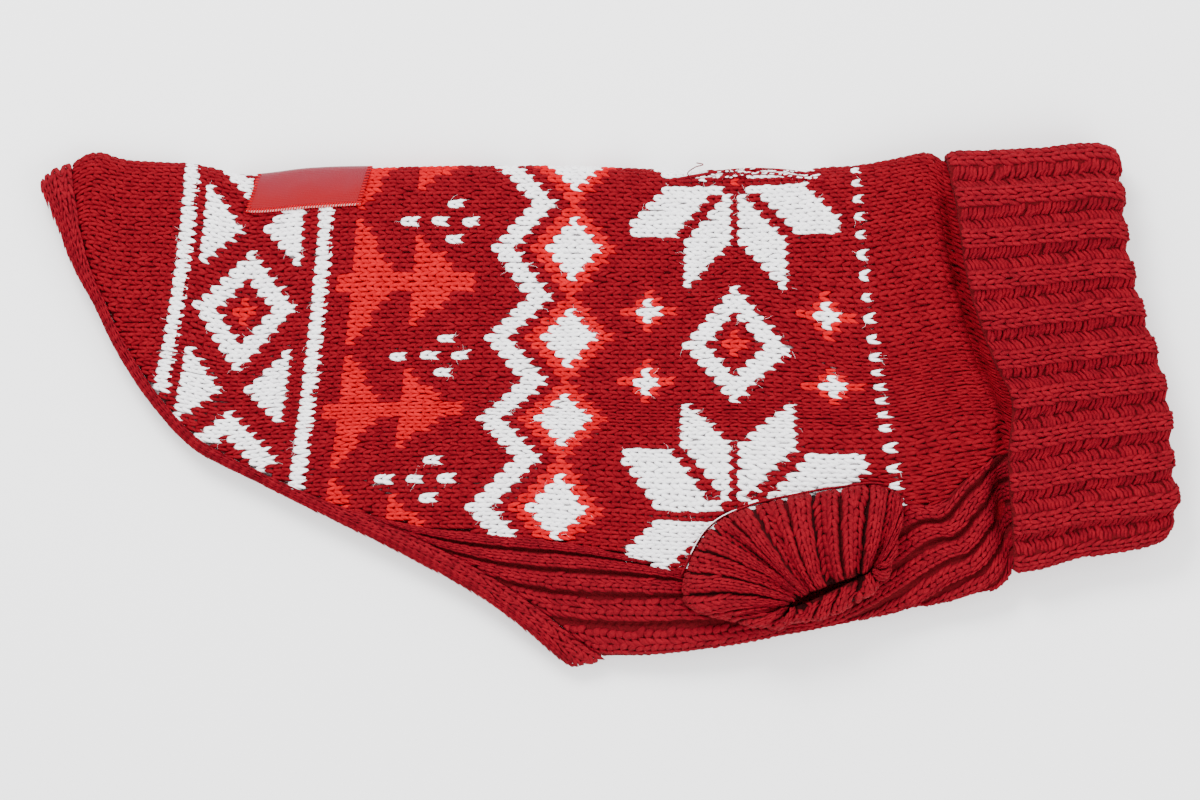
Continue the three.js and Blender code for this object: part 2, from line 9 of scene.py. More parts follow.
import bpy
import numpy as np
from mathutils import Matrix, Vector


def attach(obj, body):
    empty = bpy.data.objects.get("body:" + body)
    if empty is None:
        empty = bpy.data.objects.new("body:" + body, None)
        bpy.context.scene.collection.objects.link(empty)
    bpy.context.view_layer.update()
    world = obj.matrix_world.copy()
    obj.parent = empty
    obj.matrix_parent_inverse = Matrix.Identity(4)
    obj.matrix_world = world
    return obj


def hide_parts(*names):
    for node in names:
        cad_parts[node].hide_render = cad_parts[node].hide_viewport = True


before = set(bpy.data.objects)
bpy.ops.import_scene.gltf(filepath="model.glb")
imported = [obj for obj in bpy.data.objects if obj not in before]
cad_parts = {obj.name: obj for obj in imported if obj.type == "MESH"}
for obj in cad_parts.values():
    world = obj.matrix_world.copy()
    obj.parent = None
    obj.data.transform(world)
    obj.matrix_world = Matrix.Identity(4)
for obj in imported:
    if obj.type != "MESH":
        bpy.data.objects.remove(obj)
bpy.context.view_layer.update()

# Sizes shared with the solids
KNIT = 2.4
LOFT = [(-199, 12.0), (-60, 16.0), (60, 17.4), (200, 17.4)]
REAR_HEIGHT = 10.4
REAR_REACH = 60
NEAR_REACH = 1.4
FAR_REACH = 0.7
ROUNDNESS = 2.3
COLLAR_HEIGHT = 22
COLLAR_WIDTH = 58
COLLAR_ACROSS = 146
FLAP = 2.6
TUCK = 4.6
NECK_LEVEL = COLLAR_HEIGHT - TUCK
NECK_AT = 7 / COLLAR_WIDTH
NECK_RAMP = 20
SEAM_AT_NECK = 0.68
SEAM_GAP = 0.35
CENTRE = (0.28, 0.47)

# Outlines as x, y
COLLAR_TOP = [
    (118.1, 89.4), (135.9, 89.8), (153.5, 90.8), (165.0, 92.0), (173.8, 91.6), (178.5, 89.8),
]
COLLAR_BOTTOM = [
    (141.9, -58.6), (153.5, -56.2), (165.0, -52.7), (176.6, -51.3), (188.5, -48.8), (195.0, -46.4),
]
COLLAR_FREE_EDGE = [
    (118.1, 89.4), (121.6, 70.2), (125.5, 43.2), (134.2, 16.6),
    (140.6, 2.3), (139.5, -18.7), (140.9, -39.4), (141.9, -58.6),
]
COLLAR_FOLD = [
    (178.5, 89.8), (180.2, 75.0), (181.8, 56.2), (186.4, 35.9), (192.7, 15.6),
    (196.2, 0.5), (197.4, -19.8), (199.3, -37.0), (195.0, -46.4),
]
TAIL_END = [(-188.1, 85.2), (-195.5, 82.4), (-199.3, 78.6)]
SPINE_LINE = [
    (-188.1, 85.2), (-181.0, 89.3), (-169.0, 86.5), (-145.0, 84.9), (-126.0, 80.9),
    (-104.0, 82.4), (-72.6, 83.8), (-16.6, 84.2), (32.4, 82.8), (88.4, 84.5),
    (104.0, 87.4), (112.0, 89.0), (116.2, 87.0), (118.6, 85.0),
]
BELLY_END = [(-1.2, -87.9), (-9.6, -90.6), (-14.5, -90.1)]
BELLY_LINE = [
    (-1.2, -87.9), (19.1, -87.2), (41.8, -84.2), (63.9, -80.0), (87.0, -75.1), (116.4, -68.1),
    (131.0, -65.0), (137.0, -62.8), (139.4, -60.2), (140.6, -56.9), (142.6, -54.2),
]
SIDE_SEAM = [
    (-106.2, -29.9), (-86.3, -36.6), (-64.9, -41.1), (-21.9, -45.7), (6.8, -51.3),
    (26.4, -56.9), (65.0, -48.0), (104.1, -32.7), (114.6, -33.8), (125.1, -25.0),
]
REAR_PANEL_LINE = [
    (-188.1, 85.2), (-186.0, 70.5), (-181.8, 50.6), (-175.9, 36.4), (-169.6, 23.1),
    (-158.2, 5.1), (-142.8, -11.4), (-120.9, -23.1), (-106.2, -29.9), (-74.4, -42.5),
    (-42.9, -58.3), (-21.9, -72.6), (-7.9, -83.5), (-1.2, -87.9),
]
REAR_EDGE_LINE = [
    (-199.3, 78.6), (-192.7, 64.2), (-185.9, 47.8), (-178.7, 35.2), (-172.4, 21.9),
    (-160.5, 3.3), (-144.7, -14.0), (-122.3, -25.7), (-107.6, -33.2), (-77.2, -48.3),
    (-47.4, -64.2), (-28.2, -77.9), (-19.8, -85.2), (-14.5, -90.1),
]
SEAM_ROW = 8
SLEEVE_OUTLINE = [
    (26.4, -67.7), (28.9, -53.7), (39.4, -39.7), (58.6, -32.7), (77.9, -29.2),
    (92.6, -27.5), (102.4, -31.7), (101.3, -43.2), (96.8, -57.9), (88.4, -67.6),
    (77.2, -72.9), (65.6, -75.4), (55.1, -76.8), (42.2, -74.7), (32.4, -71.9),
]
SLEEVE_MIDDLE = (66, -53)
HOLE_SHARE = 0.8
CUFF = {"x": 78, "y": -63, "long": 17, "tilt": 0.4}
SLEEVE_BULGE = 0.09
SLEEVE_RISE = 0.55
SLEEVE_LIP = 3.4
FAR_SLEEVE_LIFT = 2.75
FAR_SLEEVE_ROOM = {"long": 46, "short": 30, "ramp": 0.8}
LABEL = {"from": -122.3, "to": -82.4, "near": 13.2, "far": 8.5, "lean": -0.3, "gap": 0.5, "thick": 0.9}
LABEL_RAMP = 12

# The knit. The cloth lies deeper than the loops by UNDER on the near side, and by FAR_UNDER on the
# bare far side. Loops stay CLEAR of the floor.
COURSE = 2.65
WALE = 3.05
FIRST_COURSE = -201.0
LAST_COURSE = 132
BACK_COURSES = 128
NEAR_WALES = 50
FAR_WALES = 9
UNDER = 1.15
FAR_UNDER = 0.25
CLEAR = 0.12

# Lean of the courses: place at the spine, shift LEAN_AT millimetres below it
LEAN = [
    (-199, -14.0), (-145, -14.0), (-97, -8.4), (-41, -7.0),
    (-11, -4.2), (46, 0.0), (86, 9.8), (118, 22.0), (160, 26.0),
]
LEAN_AT = 91.0
LEAN_POWER = 1.5

# Where the wales lie closer or wider: wale, then shift in wales at these places along the body
DRIFT_PLACES = [-125, -20, 45, 86]
WALE_DRIFT = [
    # wale, rings, chain, stars, dots
    (0.0, 0.0, 0.0, 0.0, 0.0),
    (4.5, -0.3, 0.0, 0.0, -0.4),
    (10.5, -0.3, 0.1, 0.0, -0.3),
    (15.5, 0.1, 0.8, -0.5, 1.0),
    (21.5, 0.6, 0.3, -0.4, 2.0),
    (27.5, 0.2, 0.3, 0.0, 0.9),
    (31.5, 0.0, -0.6, -0.9, 0.0),
    (35.5, 0.0, -0.8, -0.8, 0.8),
    (40.5, 0.0, 0.0, 0.6, 0.6),
    (50.0, 0.0, 0.0, 0.0, 0.0),
]

random = np.random.default_rng(1225)
steps = np.linspace
CIRCLE = 2 * math.pi
TINY = 1e-9


def smooth(share):
    share = np.clip(share, 0, 1)
    return share * share * (3 - 2 * share)


def mix(low, high, share):
    return low + (high - low) * share


def bell(away, width):
    return np.exp(-(away / width) ** 2)


def rounded(share):
    """From 0 at a fold to 1 at its reach, as a rounded quarter."""
    left = np.maximum(0, 1 - share)
    return (1 - left ** ROUNDNESS) ** (1 / ROUNDNESS)


def table_at(rows, place):
    return np.interp(place, *np.asarray(rows, float).T)


def unit(vectors):
    return vectors / np.maximum(TINY, np.linalg.norm(vectors, axis=-1, keepdims=True))


def arc_of(path):
    """Length along a path at each of its points."""
    return np.concatenate([[0], np.cumsum(np.linalg.norm(np.diff(path, axis=0), axis=1))])


class Curve:
    """A centripetal Catmull-Rom curve through rows of x, y."""

    def __init__(self, rows, closed=False, per_span=16):
        rows = np.array(rows, float)
        before = rows[-1] if closed else 2 * rows[0] - rows[1]
        after = rows[:2] if closed else [2 * rows[-1] - rows[-2]]
        padded = np.vstack([[before], rows, after])
        share = (np.arange(per_span) / per_span)[:, None]
        pieces = []
        for p0, p1, p2, p3 in zip(padded, padded[1:], padded[2:], padded[3:]):
            d0, d1, d2 = (math.dist(a, b) ** 0.5 for a, b in ((p0, p1), (p1, p2), (p2, p3)))
            t1 = ((p1 - p0) / d0 - (p2 - p0) / (d0 + d1) + (p2 - p1) / d1) * d1
            t2 = ((p2 - p1) / d1 - (p3 - p1) / (d1 + d2) + (p3 - p2) / d2) * d1
            curve = p1 + t1 * share + (3 * (p2 - p1) - 2 * t1 - t2) * share ** 2
            pieces.append(curve + (2 * (p1 - p2) + t1 + t2) * share ** 3)
        pieces.append(rows[:1] if closed else rows[-1:])
        self.points = np.vstack(pieces)
        arc = arc_of(self.points)
        self.reached = arc / arc[-1]
        self.shares = steps(0, 1, len(self.points))

    def pick(self, scale, share):
        share = np.clip(share, 0, 1)
        return np.stack([np.interp(share, scale, column) for column in self.points.T], axis=-1)

    def at(self, share):
        return self.pick(self.reached, share)

    def by(self, share):
        return self.pick(self.shares, share)


def patch(start, end, left, right):
    """A plan between four border curves that share their corners."""
    low_left, high_left, low_right, high_right = left(0.0), left(1.0), right(0.0), right(1.0)

    def place(u, t):
        u, t = np.broadcast_arrays(np.asarray(u, float), np.asarray(t, float))
        du, dt = u[..., None], t[..., None]
        ruled = start(u) * (1 - dt) + end(u) * dt + left(t) * (1 - du) + right(t) * du
        low = low_left * (1 - du) + low_right * du
        high = high_left * (1 - du) + high_right * du
        return ruled - low * (1 - dt) - high * dt
    return place


def segment(plan, ax, ay, bx, by):
    """Share along a segment, distance from it, and the direction to its right."""
    dx, dy = bx - ax, by - ay
    run = math.hypot(dx, dy)
    x, y = plan[..., 0] - ax, plan[..., 1] - ay
    along = np.clip((x * dx + y * dy) / run ** 2, 0, 1)
    return along, np.hypot(x - dx * along, y - dy * along), np.array([dy / run, -dx / run])


def nearest(border, plan):
    """Distance to a border and the direction that leads inward from it."""
    points, hand = border
    best = np.full(plan.shape[:-1], np.inf)
    inward = np.zeros((*best.shape, 2))
    for start, end in zip(points, points[1:]):
        _, away, right = segment(plan, *start, *end)
        closer = away < best
        best = np.where(closer, away, best)
        inward = np.where(closer[..., None], hand * right, inward)
    return best, inward


def inside(outline, plan):
    """Whether points lie inside a closed outline."""
    x, y = plan[..., 0], plan[..., 1]
    within = np.zeros(x.shape, bool)
    for (ax, ay), (bx, by) in zip(outline, np.roll(outline, -1, axis=0)):
        if ay != by:
            within ^= ((ay > y) != (by > y)) & (x < (bx - ax) * (y - ay) / (by - ay) + ax)
    return within


# Collar surface

collar_free = Curve(COLLAR_FREE_EDGE)
collar_plan = patch(
    Curve(COLLAR_TOP).at, Curve(COLLAR_BOTTOM).at, collar_free.at, Curve(COLLAR_FOLD).at,
)


def collar_skin(along, across, side, depth):
    plan = collar_plan(along, across)
    reach = NECK_LEVEL * np.where(side > 0, NEAR_REACH, FAR_REACH) + TUCK
    from_top = across * COLLAR_ACROSS / reach
    from_bottom = (1 - across) * COLLAR_ACROSS / reach
    tip = COLLAR_HEIGHT / 2
    rest = np.where(side > 0, COLLAR_HEIGHT - depth, depth)
    inward = np.maximum(0, 1 - from_bottom) - np.maximum(0, 1 - from_top)
    height = tip + (rest - tip) * rounded(from_top) * rounded(from_bottom)
    return np.stack([plan[..., 0], plan[..., 1] + depth * inward, height], axis=-1)


def neck_point(across):
    return collar_skin(NECK_AT, np.asarray(across, float), 1, TUCK)[..., :2]


# Body surface

tail_end = Curve(TAIL_END)
belly_end = Curve(BELLY_END)
spine_line = Curve(SPINE_LINE + [tuple(neck_point(0.0))])
belly_line = Curve(BELLY_LINE + [tuple(neck_point(1.0))])
side_seam = Curve(SIDE_SEAM + [tuple(neck_point(SEAM_AT_NECK))])
rear_panel_line = Curve(REAR_PANEL_LINE)
rear_edge_line = Curve(REAR_EDGE_LINE)
seam_share = SEAM_ROW / (len(REAR_PANEL_LINE) - 1)
sleeve_outline = Curve(SLEEVE_OUTLINE, closed=True)
spine_fold = (np.vstack([tail_end.at(steps(1, 0, 5)), spine_line.at(steps(0, 1, 80))[1:]]), 1)
belly_fold = (np.vstack([belly_end.at(steps(1, 0, 5)), belly_line.at(steps(0, 1, 60))[1:]]), -1)
rear_edge = (rear_edge_line.at(steps(0, 1, 60)), 1)
neck_edge = collar_free.points[::-1, ::-1]
cuff_way = (math.cos(CUFF["tilt"]), math.sin(CUFF["tilt"]))

# Soft troughs and ridges of the near side
BODY_FOLDS = [
    # x, y, to x, to y, height, half width
    (-160, 20, -118, 52, -0.7, 9),
    (-96, -18, -30, -34, 0.6, 8),
    (-20, 30, 62, -18, -0.6, 12),
    (4, -20, 60, -16, -0.8, 8),
    (72, -10, 122, 10, -0.9, 7),
    (84, 26, 116, 34, 0.8, 8),
    (98, 4, 126, 12, 0.7, 5),
    (104, -22, 128, -8, -1.2, 4),
    (-60, 60, -10, 66, 0.5, 9),
    (96, 66, 116, 60, -0.6, 7),
    (100, -52, 130, -42, -0.8, 5),
    (-40, -52, 20, -66, 0.5, 7),
    (134.0, -22, 137.0, -46, -2.5, 5),
    (136.8, -24, 139.4, -50, -10.0, 3.6),
    (116.5, 78, 118.5, 68, -2.0, 2.6),
    (118.9, 70, 122.9, 43, -6.4, 3.0),
    (122.9, 44, 131.8, 14, -6.4, 3.0),
    (132.0, 15, 137.8, 1, -4.4, 2.2),
    (138.2, 0, 137.4, -18, -4.4, 2.0),
]


def relief(plan):
    """Height of the troughs and ridges, each of them fainter towards its ends."""
    height = np.zeros(plan.shape[:-1])
    for *ends, rise, width in BODY_FOLDS:
        along, away, _ = segment(plan, *ends)
        fade = 0.45 + 0.55 * np.sin(math.pi * (0.08 + 0.84 * along))
        height += rise * fade * bell(away, width)
    return height


def level(plan):
    """Height of the near face: the loft along the body, lower towards the rear edge."""
    places, values = np.array(LOFT).T
    at = np.clip(np.searchsorted(places, plan[..., 0]) - 1, 0, len(places) - 2)
    share = smooth((plan[..., 0] - places[at]) / (places[at + 1] - places[at]))
    loft = mix(values[at], values[at + 1], share)
    return mix(REAR_HEIGHT, loft, smooth(nearest(rear_edge, plan)[0] / REAR_REACH))


def neck_lift(plan):
    """Rise of the far side towards the collar."""
    past = plan[..., 0] - table_at(neck_edge, plan[..., 1])
    return TUCK * smooth((past + NECK_RAMP) / (NECK_RAMP - 1))


def sleeve_lift(plan):
    """Rise of the far side over the far sleeve."""
    dx, dy = plan[..., 0] - SLEEVE_MIDDLE[0], plan[..., 1] - SLEEVE_MIDDLE[1]
    long = (dx * cuff_way[0] + dy * cuff_way[1]) / FAR_SLEEVE_ROOM["long"]
    short = (dy * cuff_way[0] - dx * cuff_way[1]) / FAR_SLEEVE_ROOM["short"]
    return FAR_SLEEVE_LIFT * smooth((1 - np.hypot(long, short)) / FAR_SLEEVE_ROOM["ramp"] + 1)


def label_lift(plan, from_spine):
    """Rise of the far side over the label's far end."""
    past = np.maximum(LABEL["from"] - plan[..., 0], plan[..., 0] - LABEL["to"])
    beside = np.maximum(0, past) / LABEL_RAMP
    beyond = np.maximum(0, from_spine - LABEL["far"]) / LABEL_RAMP
    return (LABEL["thick"] + LABEL["gap"]) * smooth(1.2 - np.hypot(beside, beyond))


def skin(plan, side, depth):
    """A point of the body: depth 0 is the outer face, less than 0 stands out."""
    spine, spine_in = nearest(spine_fold, plan)
    belly, belly_in = nearest(belly_fold, plan)
    full, lifted = level(plan), neck_lift(plan)
    reach = full * np.where(side > 0, NEAR_REACH, FAR_REACH)
    floor = np.maximum(lifted, np.maximum(sleeve_lift(plan), label_lift(plan, spine)))
    tip = (full + lifted) / 2
    rest = np.where(side > 0, full - depth + relief(plan), floor + depth)
    folds = rounded(spine / reach) * rounded(belly / reach)
    off_spine = (depth * np.maximum(0, 1 - spine / reach))[..., None]
    off_belly = (depth * np.maximum(0, 1 - belly / reach))[..., None]
    moved = plan[..., :2] + spine_in * off_spine + belly_in * off_belly
    return np.concatenate([moved, (tip + (rest - tip) * folds)[..., None]], axis=-1)


def on_skin(plan, height):
    """A point of the near side, raised straight up."""
    point = skin(plan, 1, 0.0)
    point[..., 2] += height
    return point


# Grids of courses and wales

class Field:
    """Places on a surface by course and wale, kept on a half-step grid."""

    def __init__(self, points, hand, first_wale=0.0):
        self.points, self.first_wale = points, first_wale
        self.normals = unit(hand * np.cross(*np.gradient(points, axis=(0, 1))))

    def place(self, course, wale, height):
        rows, columns = self.points.shape[:2]
        i = np.clip(course * 2, 0, rows - 1.001)
        j = np.clip((wale - self.first_wale) * 2, 0, columns - 1.001)
        i0, j0 = i.astype(int), j.astype(int)
        fi, fj = (i - i0)[..., None], (j - j0)[..., None]

        def blend(grid):
            low = mix(grid[i0, j0], grid[i0, j0 + 1], fj)
            high = mix(grid[i0 + 1, j0], grid[i0 + 1, j0 + 1], fj)
            return mix(low, high, fi)
        return blend(self.points) + blend(self.normals) * np.asarray(height)[..., None]


def half_steps(low, high):
    return np.arange(low, high + 0.25, 0.5)


def cells(courses, wales):
    """Course and wale of each cell of a grid, as two flat arrays."""
    return [grid.ravel().astype(float) for grid in np.meshgrid(courses, wales, indexing="ij")]


def course_field(points, count, hand, from_end=False):
    """A field with equal courses along each column of a grid, and each column's length in courses."""
    places = half_steps(0, count) * COURSE
    columns, reached = [], []
    for column in points.transpose(1, 0, 2):
        arc = arc_of(column)
        at = arc[-1] - places[::-1] if from_end else places
        columns.append(np.stack([np.interp(at, arc, axis) for axis in column.T], axis=-1))
        reached.append(arc[-1] / COURSE)
    return Field(np.array(columns).transpose(1, 0, 2), hand), np.array(reached)


def wale_drift(x0, wale):
    table = np.array(WALE_DRIFT)
    shifts = np.stack([np.interp(wale, table[:, 0], column) for column in table[:, 1:].T], axis=-1)
    last = len(DRIFT_PLACES) - 1.001
    at = np.clip(np.interp(x0, DRIFT_PLACES, range(len(DRIFT_PLACES))), 0, last)
    return np.stack([mix(shifts[:, int(s)], shifts[:, int(s) + 1], s - int(s)) for s in at])


def back_plan(x0, off):
    lean = table_at(LEAN, x0) * (np.abs(off) / LEAN_AT) ** LEAN_POWER
    return np.stack([x0 + lean, table_at(spine_fold[0], x0) - np.abs(off)], axis=-1)


def back_field():
    wales = half_steps(-FAR_WALES - 2, NEAR_WALES)
    x0 = FIRST_COURSE + half_steps(0, LAST_COURSE) * COURSE
    reach = np.concatenate([-60 * steps(1, 0, 40)[:-1] ** 2.2, 150 * steps(0, 1, 90) ** 2.2])
    plan = back_plan(*np.meshgrid(x0, reach, indexing="ij"))
    off = []
    for path, shift in zip(skin(plan, np.sign(reach + TINY), 0.0), wale_drift(x0, np.maximum(0, wales))):
        arc = arc_of(path)
        off.append(np.interp((wales + shift) * WALE, arc - arc[np.argmax(reach >= 0)], reach))
    off = np.array(off)
    plan = back_plan(np.broadcast_to(x0[:, None], off.shape), off)
    return Field(skin(plan, np.where(off >= 0, 1, -1), 0.0), -1, wales[0])


# Meshes

def to_metres(points):
    return (np.asarray(points, float) - (*CENTRE, 0)) / 1000


def add_piece(name, material, form, colours=None, node=None):
    """A smooth piece from points in mm, faces with as many corners each, and thread coordinates."""
    points, faces, threads = form
    mesh = bpy.data.meshes.new(name)
    points = to_metres(points)
    faces = np.asarray(faces, np.int32)
    a, b, c = (points[faces[:, k]] for k in range(3))
    if np.einsum("ij,ij->", a, np.cross(b, c)) < 0:
        faces = faces[:, ::-1]
    mesh.vertices.add(len(points))
    mesh.vertices.foreach_set("co", points.ravel())
    mesh.loops.add(faces.size)
    mesh.loops.foreach_set("vertex_index", faces.ravel())
    mesh.polygons.add(len(faces))
    mesh.polygons.foreach_set("loop_start", np.arange(0, faces.size, faces.shape[1], dtype=np.int32))
    mesh.update(calc_edges=True)
    mesh.polygons.foreach_set("use_smooth", np.ones(len(faces), bool))
    if colours is not None:
        layer = mesh.color_attributes.new("yarn", "FLOAT_COLOR", "POINT")
        layer.data.foreach_set("color", np.c_[colours, np.ones(len(colours))].ravel())
    layer = mesh.uv_layers.new(name="thread")
    layer.data.foreach_set("uv", threads[faces.ravel()].ravel())
    mesh.validate()
    piece = bpy.data.objects.new(name, mesh)
    bpy.context.scene.collection.objects.link(piece)
    mesh.materials.append(material)
    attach(piece, "root")
    if node:
        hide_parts(node)
    return piece


def grid_faces(rows, columns, round_rows=False, round_columns=False):
    i = np.arange(rows if round_rows else rows - 1)[:, None]
    j = np.arange(columns if round_columns else columns - 1)[None, :]
    a, b = i * columns + j, i * columns + (j + 1) % columns
    up = ((i + 1) % rows - i) * columns
    return np.stack(np.broadcast_arrays(a, b, b + up, a + up), axis=-1).reshape(-1, 4)


def closed_sheet(outer, inner, threads, gone=None):
    """Form of an open sheet with two faces and closed rims, less the cells that are gone."""
    rows, width = outer.shape[:2]
    shift = rows * width
    quads = grid_faces(rows, width)
    kept = np.ones((rows - 1, width - 1), bool) if gone is None else ~gone
    padded = np.pad(kept, 1)
    faces = [quads[kept.ravel()], quads[kept.ravel()][:, ::-1] + shift]
    beside = (padded[:-2, 1:-1], padded[1:-1, 2:], padded[2:, 1:-1], padded[1:-1, :-2])
    for corner, other in enumerate(beside):
        rim = quads[(kept & ~other).ravel()]
        p, q = rim[:, corner], rim[:, (corner + 1) % 4]
        faces.append(np.stack([q, p, p + shift, q + shift], axis=-1))
    points = np.concatenate([outer.reshape(-1, 3), inner.reshape(-1, 3)])
    return points, np.concatenate(faces), np.tile(threads.reshape(-1, 2), (2, 1))


def add_tube_cloth(name, node, rings, tones):
    """A closed tube of cloth from its rings, in one colour or one for each point."""
    points = rings.reshape(-1, 3)
    faces = grid_faces(*rings.shape[:2], round_rows=True, round_columns=True)
    tones = np.broadcast_to(tones, points.shape)
    return add_piece(name, cloth, (points, faces, points[:, :2] / WALE), tones, node)


# One yarn loop: a V of two arms, each a closed tube. Its tip lies on top at the low course.
# Tables give course, wale from the loop's middle, height in mm and radius in wales.
ARM = [
    (-0.16, 0.04, 0.40, 0.0),
    (0.10, 0.145, 0.76, 0.22),
    (0.68, 0.275, 0.82, 0.258),
    (1.30, 0.40, 0.40, 0.185),
    (1.74, 0.50, -0.05, 0.0),
]
PURL = [
    (0.05, -0.56, -0.15, 0.0),
    (0.30, -0.34, 0.18, 0.24),
    (0.46, 0.0, 0.42, 0.27),
    (0.30, 0.34, 0.18, 0.24),
    (0.05, 0.56, -0.15, 0.0),
]
SIDES = 5
FLATTENED = 0.82
ring_turns = CIRCLE * np.arange(SIDES) / SIDES

# Spread of the seeded differences between loops, in courses and wales, in share and in mm
NUDGE = 0.045
TWIST = 0.05
PLUMP = 0.05
RISE = 0.07
# Middle of a loop from its course, and how far its foot is sunk into the cloth, in mm
LOOP_MIDDLE = 0.7
SUNK = 0.15


def tube(rows, flip=1):
    """Points as course, wale, height; triangles; thread coordinates of one tapered tube."""
    rows = np.array(rows, float)
    rows[:, 1] *= flip
    along = unit(np.gradient(rows[:, :2] * (COURSE, WALE), axis=0))
    points, threads = [rows[0, :3]], [(0.0, 0.0)]
    for k in range(1, len(rows) - 1):
        wide = rows[k, 3] * WALE
        side = np.array([-along[k, 1], along[k, 0]]) * wide / (COURSE, WALE)
        for turn in ring_turns:
            plan = rows[k, :2] + side * math.cos(turn)
            points.append((*plan, rows[k, 2] + FLATTENED * wide * math.sin(turn)))
            threads.append((k / (len(rows) - 1), turn / CIRCLE))
    points.append(rows[-1, :3])
    threads.append((1.0, 0.0))
    last = len(points) - 1
    faces = [(0, 1 + (j + 1) % SIDES, 1 + j) for j in range(SIDES)]
    for ring in range(1, last - SIDES, SIDES):
        for j in range(SIDES):
            a, b = ring + j, ring + (j + 1) % SIDES
            faces += [(a, b, b + SIDES), (a, b + SIDES, a + SIDES)]
    faces += [(last, last - SIDES + j, last - SIDES + (j + 1) % SIDES) for j in range(SIDES)]
    faces = np.array(faces)
    return np.array(points), faces if flip > 0 else faces[:, ::-1], np.array(threads)


def joined(parts):
    points, faces, threads = zip(*parts)
    starts = np.cumsum([0, *map(len, points[:-1])])
    faces = [part + start for part, start in zip(faces, starts)]
    return np.concatenate(points), np.concatenate(faces), np.concatenate(threads)


LOOP = joined([tube(ARM), tube(ARM, -1)])
BUMP = tube(PURL)


def copies(placed, faces, threads):
    """Points, triangles and thread coordinates of many copies of a form, kept off the floor."""
    count, each = placed.shape[:2]
    placed[..., 2] = np.maximum(placed[..., 2], CLEAR)
    starts = (np.arange(count) * each)[:, None, None]
    return placed.reshape(-1, 3), (faces + starts).reshape(-1, 3), np.tile(threads, (count, 1))


def lay(field, shape, course, wale, lift=0.0, scale=1.0, loose=1.0, slant=0.0):
    """Copies of a loop on a field, one for each course and wale, with small seeded differences."""
    points, faces, threads = shape
    count = len(course)
    nudge = random.normal(0, NUDGE * loose, (count, 2))
    twist = random.normal(0, TWIST * loose, (count, 1))
    plump = 1 + random.normal(0, PLUMP * loose, (count, 1))
    rise = random.normal(0, RISE * loose, (count, 1))
    lift, slant = (np.broadcast_to(value, (count,))[:, None] for value in (lift, slant))
    along, across, height = points.T
    a = course[:, None] + (along + nudge[:, :1] + slant * across)
    b = wale[:, None] + 0.5 + (across * plump + nudge[:, 1:] + twist * along)
    h = height * scale * plump + rise + lift - UNDER + SUNK
    return copies(field.place(a, b, h), faces, threads)


# Chart of the jacquard, by course and wale

GROUND, WHITE, BRIGHT = 0, 1, 2
CHART_COURSES = 136
CHART_TOP = -60
CHART_WALES = 120
chart = np.zeros((CHART_COURSES, CHART_WALES), int)

STRIPES = (20, 38)
FIR_AT = 41
FIR_TRUNK = 18
FIR_TIERS = [
    # first course, stitches in each wale from the trunk outwards
    (43, (5, 4, 3, 3, 2, 1)),
    (51, (5, 4, 2, 1)),
]
PLUS = ((49, 0), (53, 0), (57, 0), (55, -2), (55, 2))


def fill(courses, wale, yarn):
    """Stitches of one yarn along a wale."""
    if 0 <= wale - CHART_TOP < CHART_WALES:
        for course in courses:
            chart[course, wale - CHART_TOP] = yarn


def repeats(first, period):
    """Wales of a repeat that fall on the chart."""
    low = math.ceil((CHART_TOP - 14 - first) / period)
    high = math.floor((CHART_TOP + CHART_WALES + 14 - first) / period)
    return [first + period * k for k in range(low, high + 1)]


def diamond(course, wale, size, yarn, hollow=-1):
    for dw in range(-size, size + 1):
        deep = size - abs(dw)
        row = [course + dc for dc in range(-deep, deep + 1) if abs(dc) + abs(dw) > hollow]
        fill(row, wale + dw, yarn)


def framed_diamond(course, wale):
    """A hollow white diamond round a small bright one."""
    diamond(course, wale, 6, WHITE, hollow=3)
    diamond(course, wale, 1, BRIGHT)


def triangle(course, wale, step):
    """Five courses deep, with its flat side at course and its point step-wards."""
    for dw in range(-4, 5):
        fill([course + step * dc for dc in range(5 - abs(dw))], wale + dw, WHITE)


def fir(wale):
    """A fir tree that lies on its side: trunk and two tiers, mirrored below wale."""
    for start, away in ((wale + 1, 1), (wale, -1)):
        fill(range(FIR_AT, FIR_AT + FIR_TRUNK), start, BRIGHT)
        for first, widths in FIR_TIERS:
            for k, width in enumerate(widths, start=1):
                fill(range(first, first + width), start + away * k, BRIGHT)


def star(course, wale):
    """Eight petals round one bright stitch, from one quarter that is mirrored twice."""
    for up in (-1, 1):
        for out in (-1, 1):
            for k in range(11):
                first, last = (6 - k, 6) if k < 6 else (1, 11 - k)
                fill([course + out * dc for dc in range(first, last + 1)], wale + up * (12 - k), WHITE)
            for row in range(1, 7):
                first, last = 2 if row == 1 else row + 2, min(13, row + 8)
                fill([course + out * dc for dc in range(first, last + 1)], wale + up * row, WHITE)
    fill([course], wale, BRIGHT)


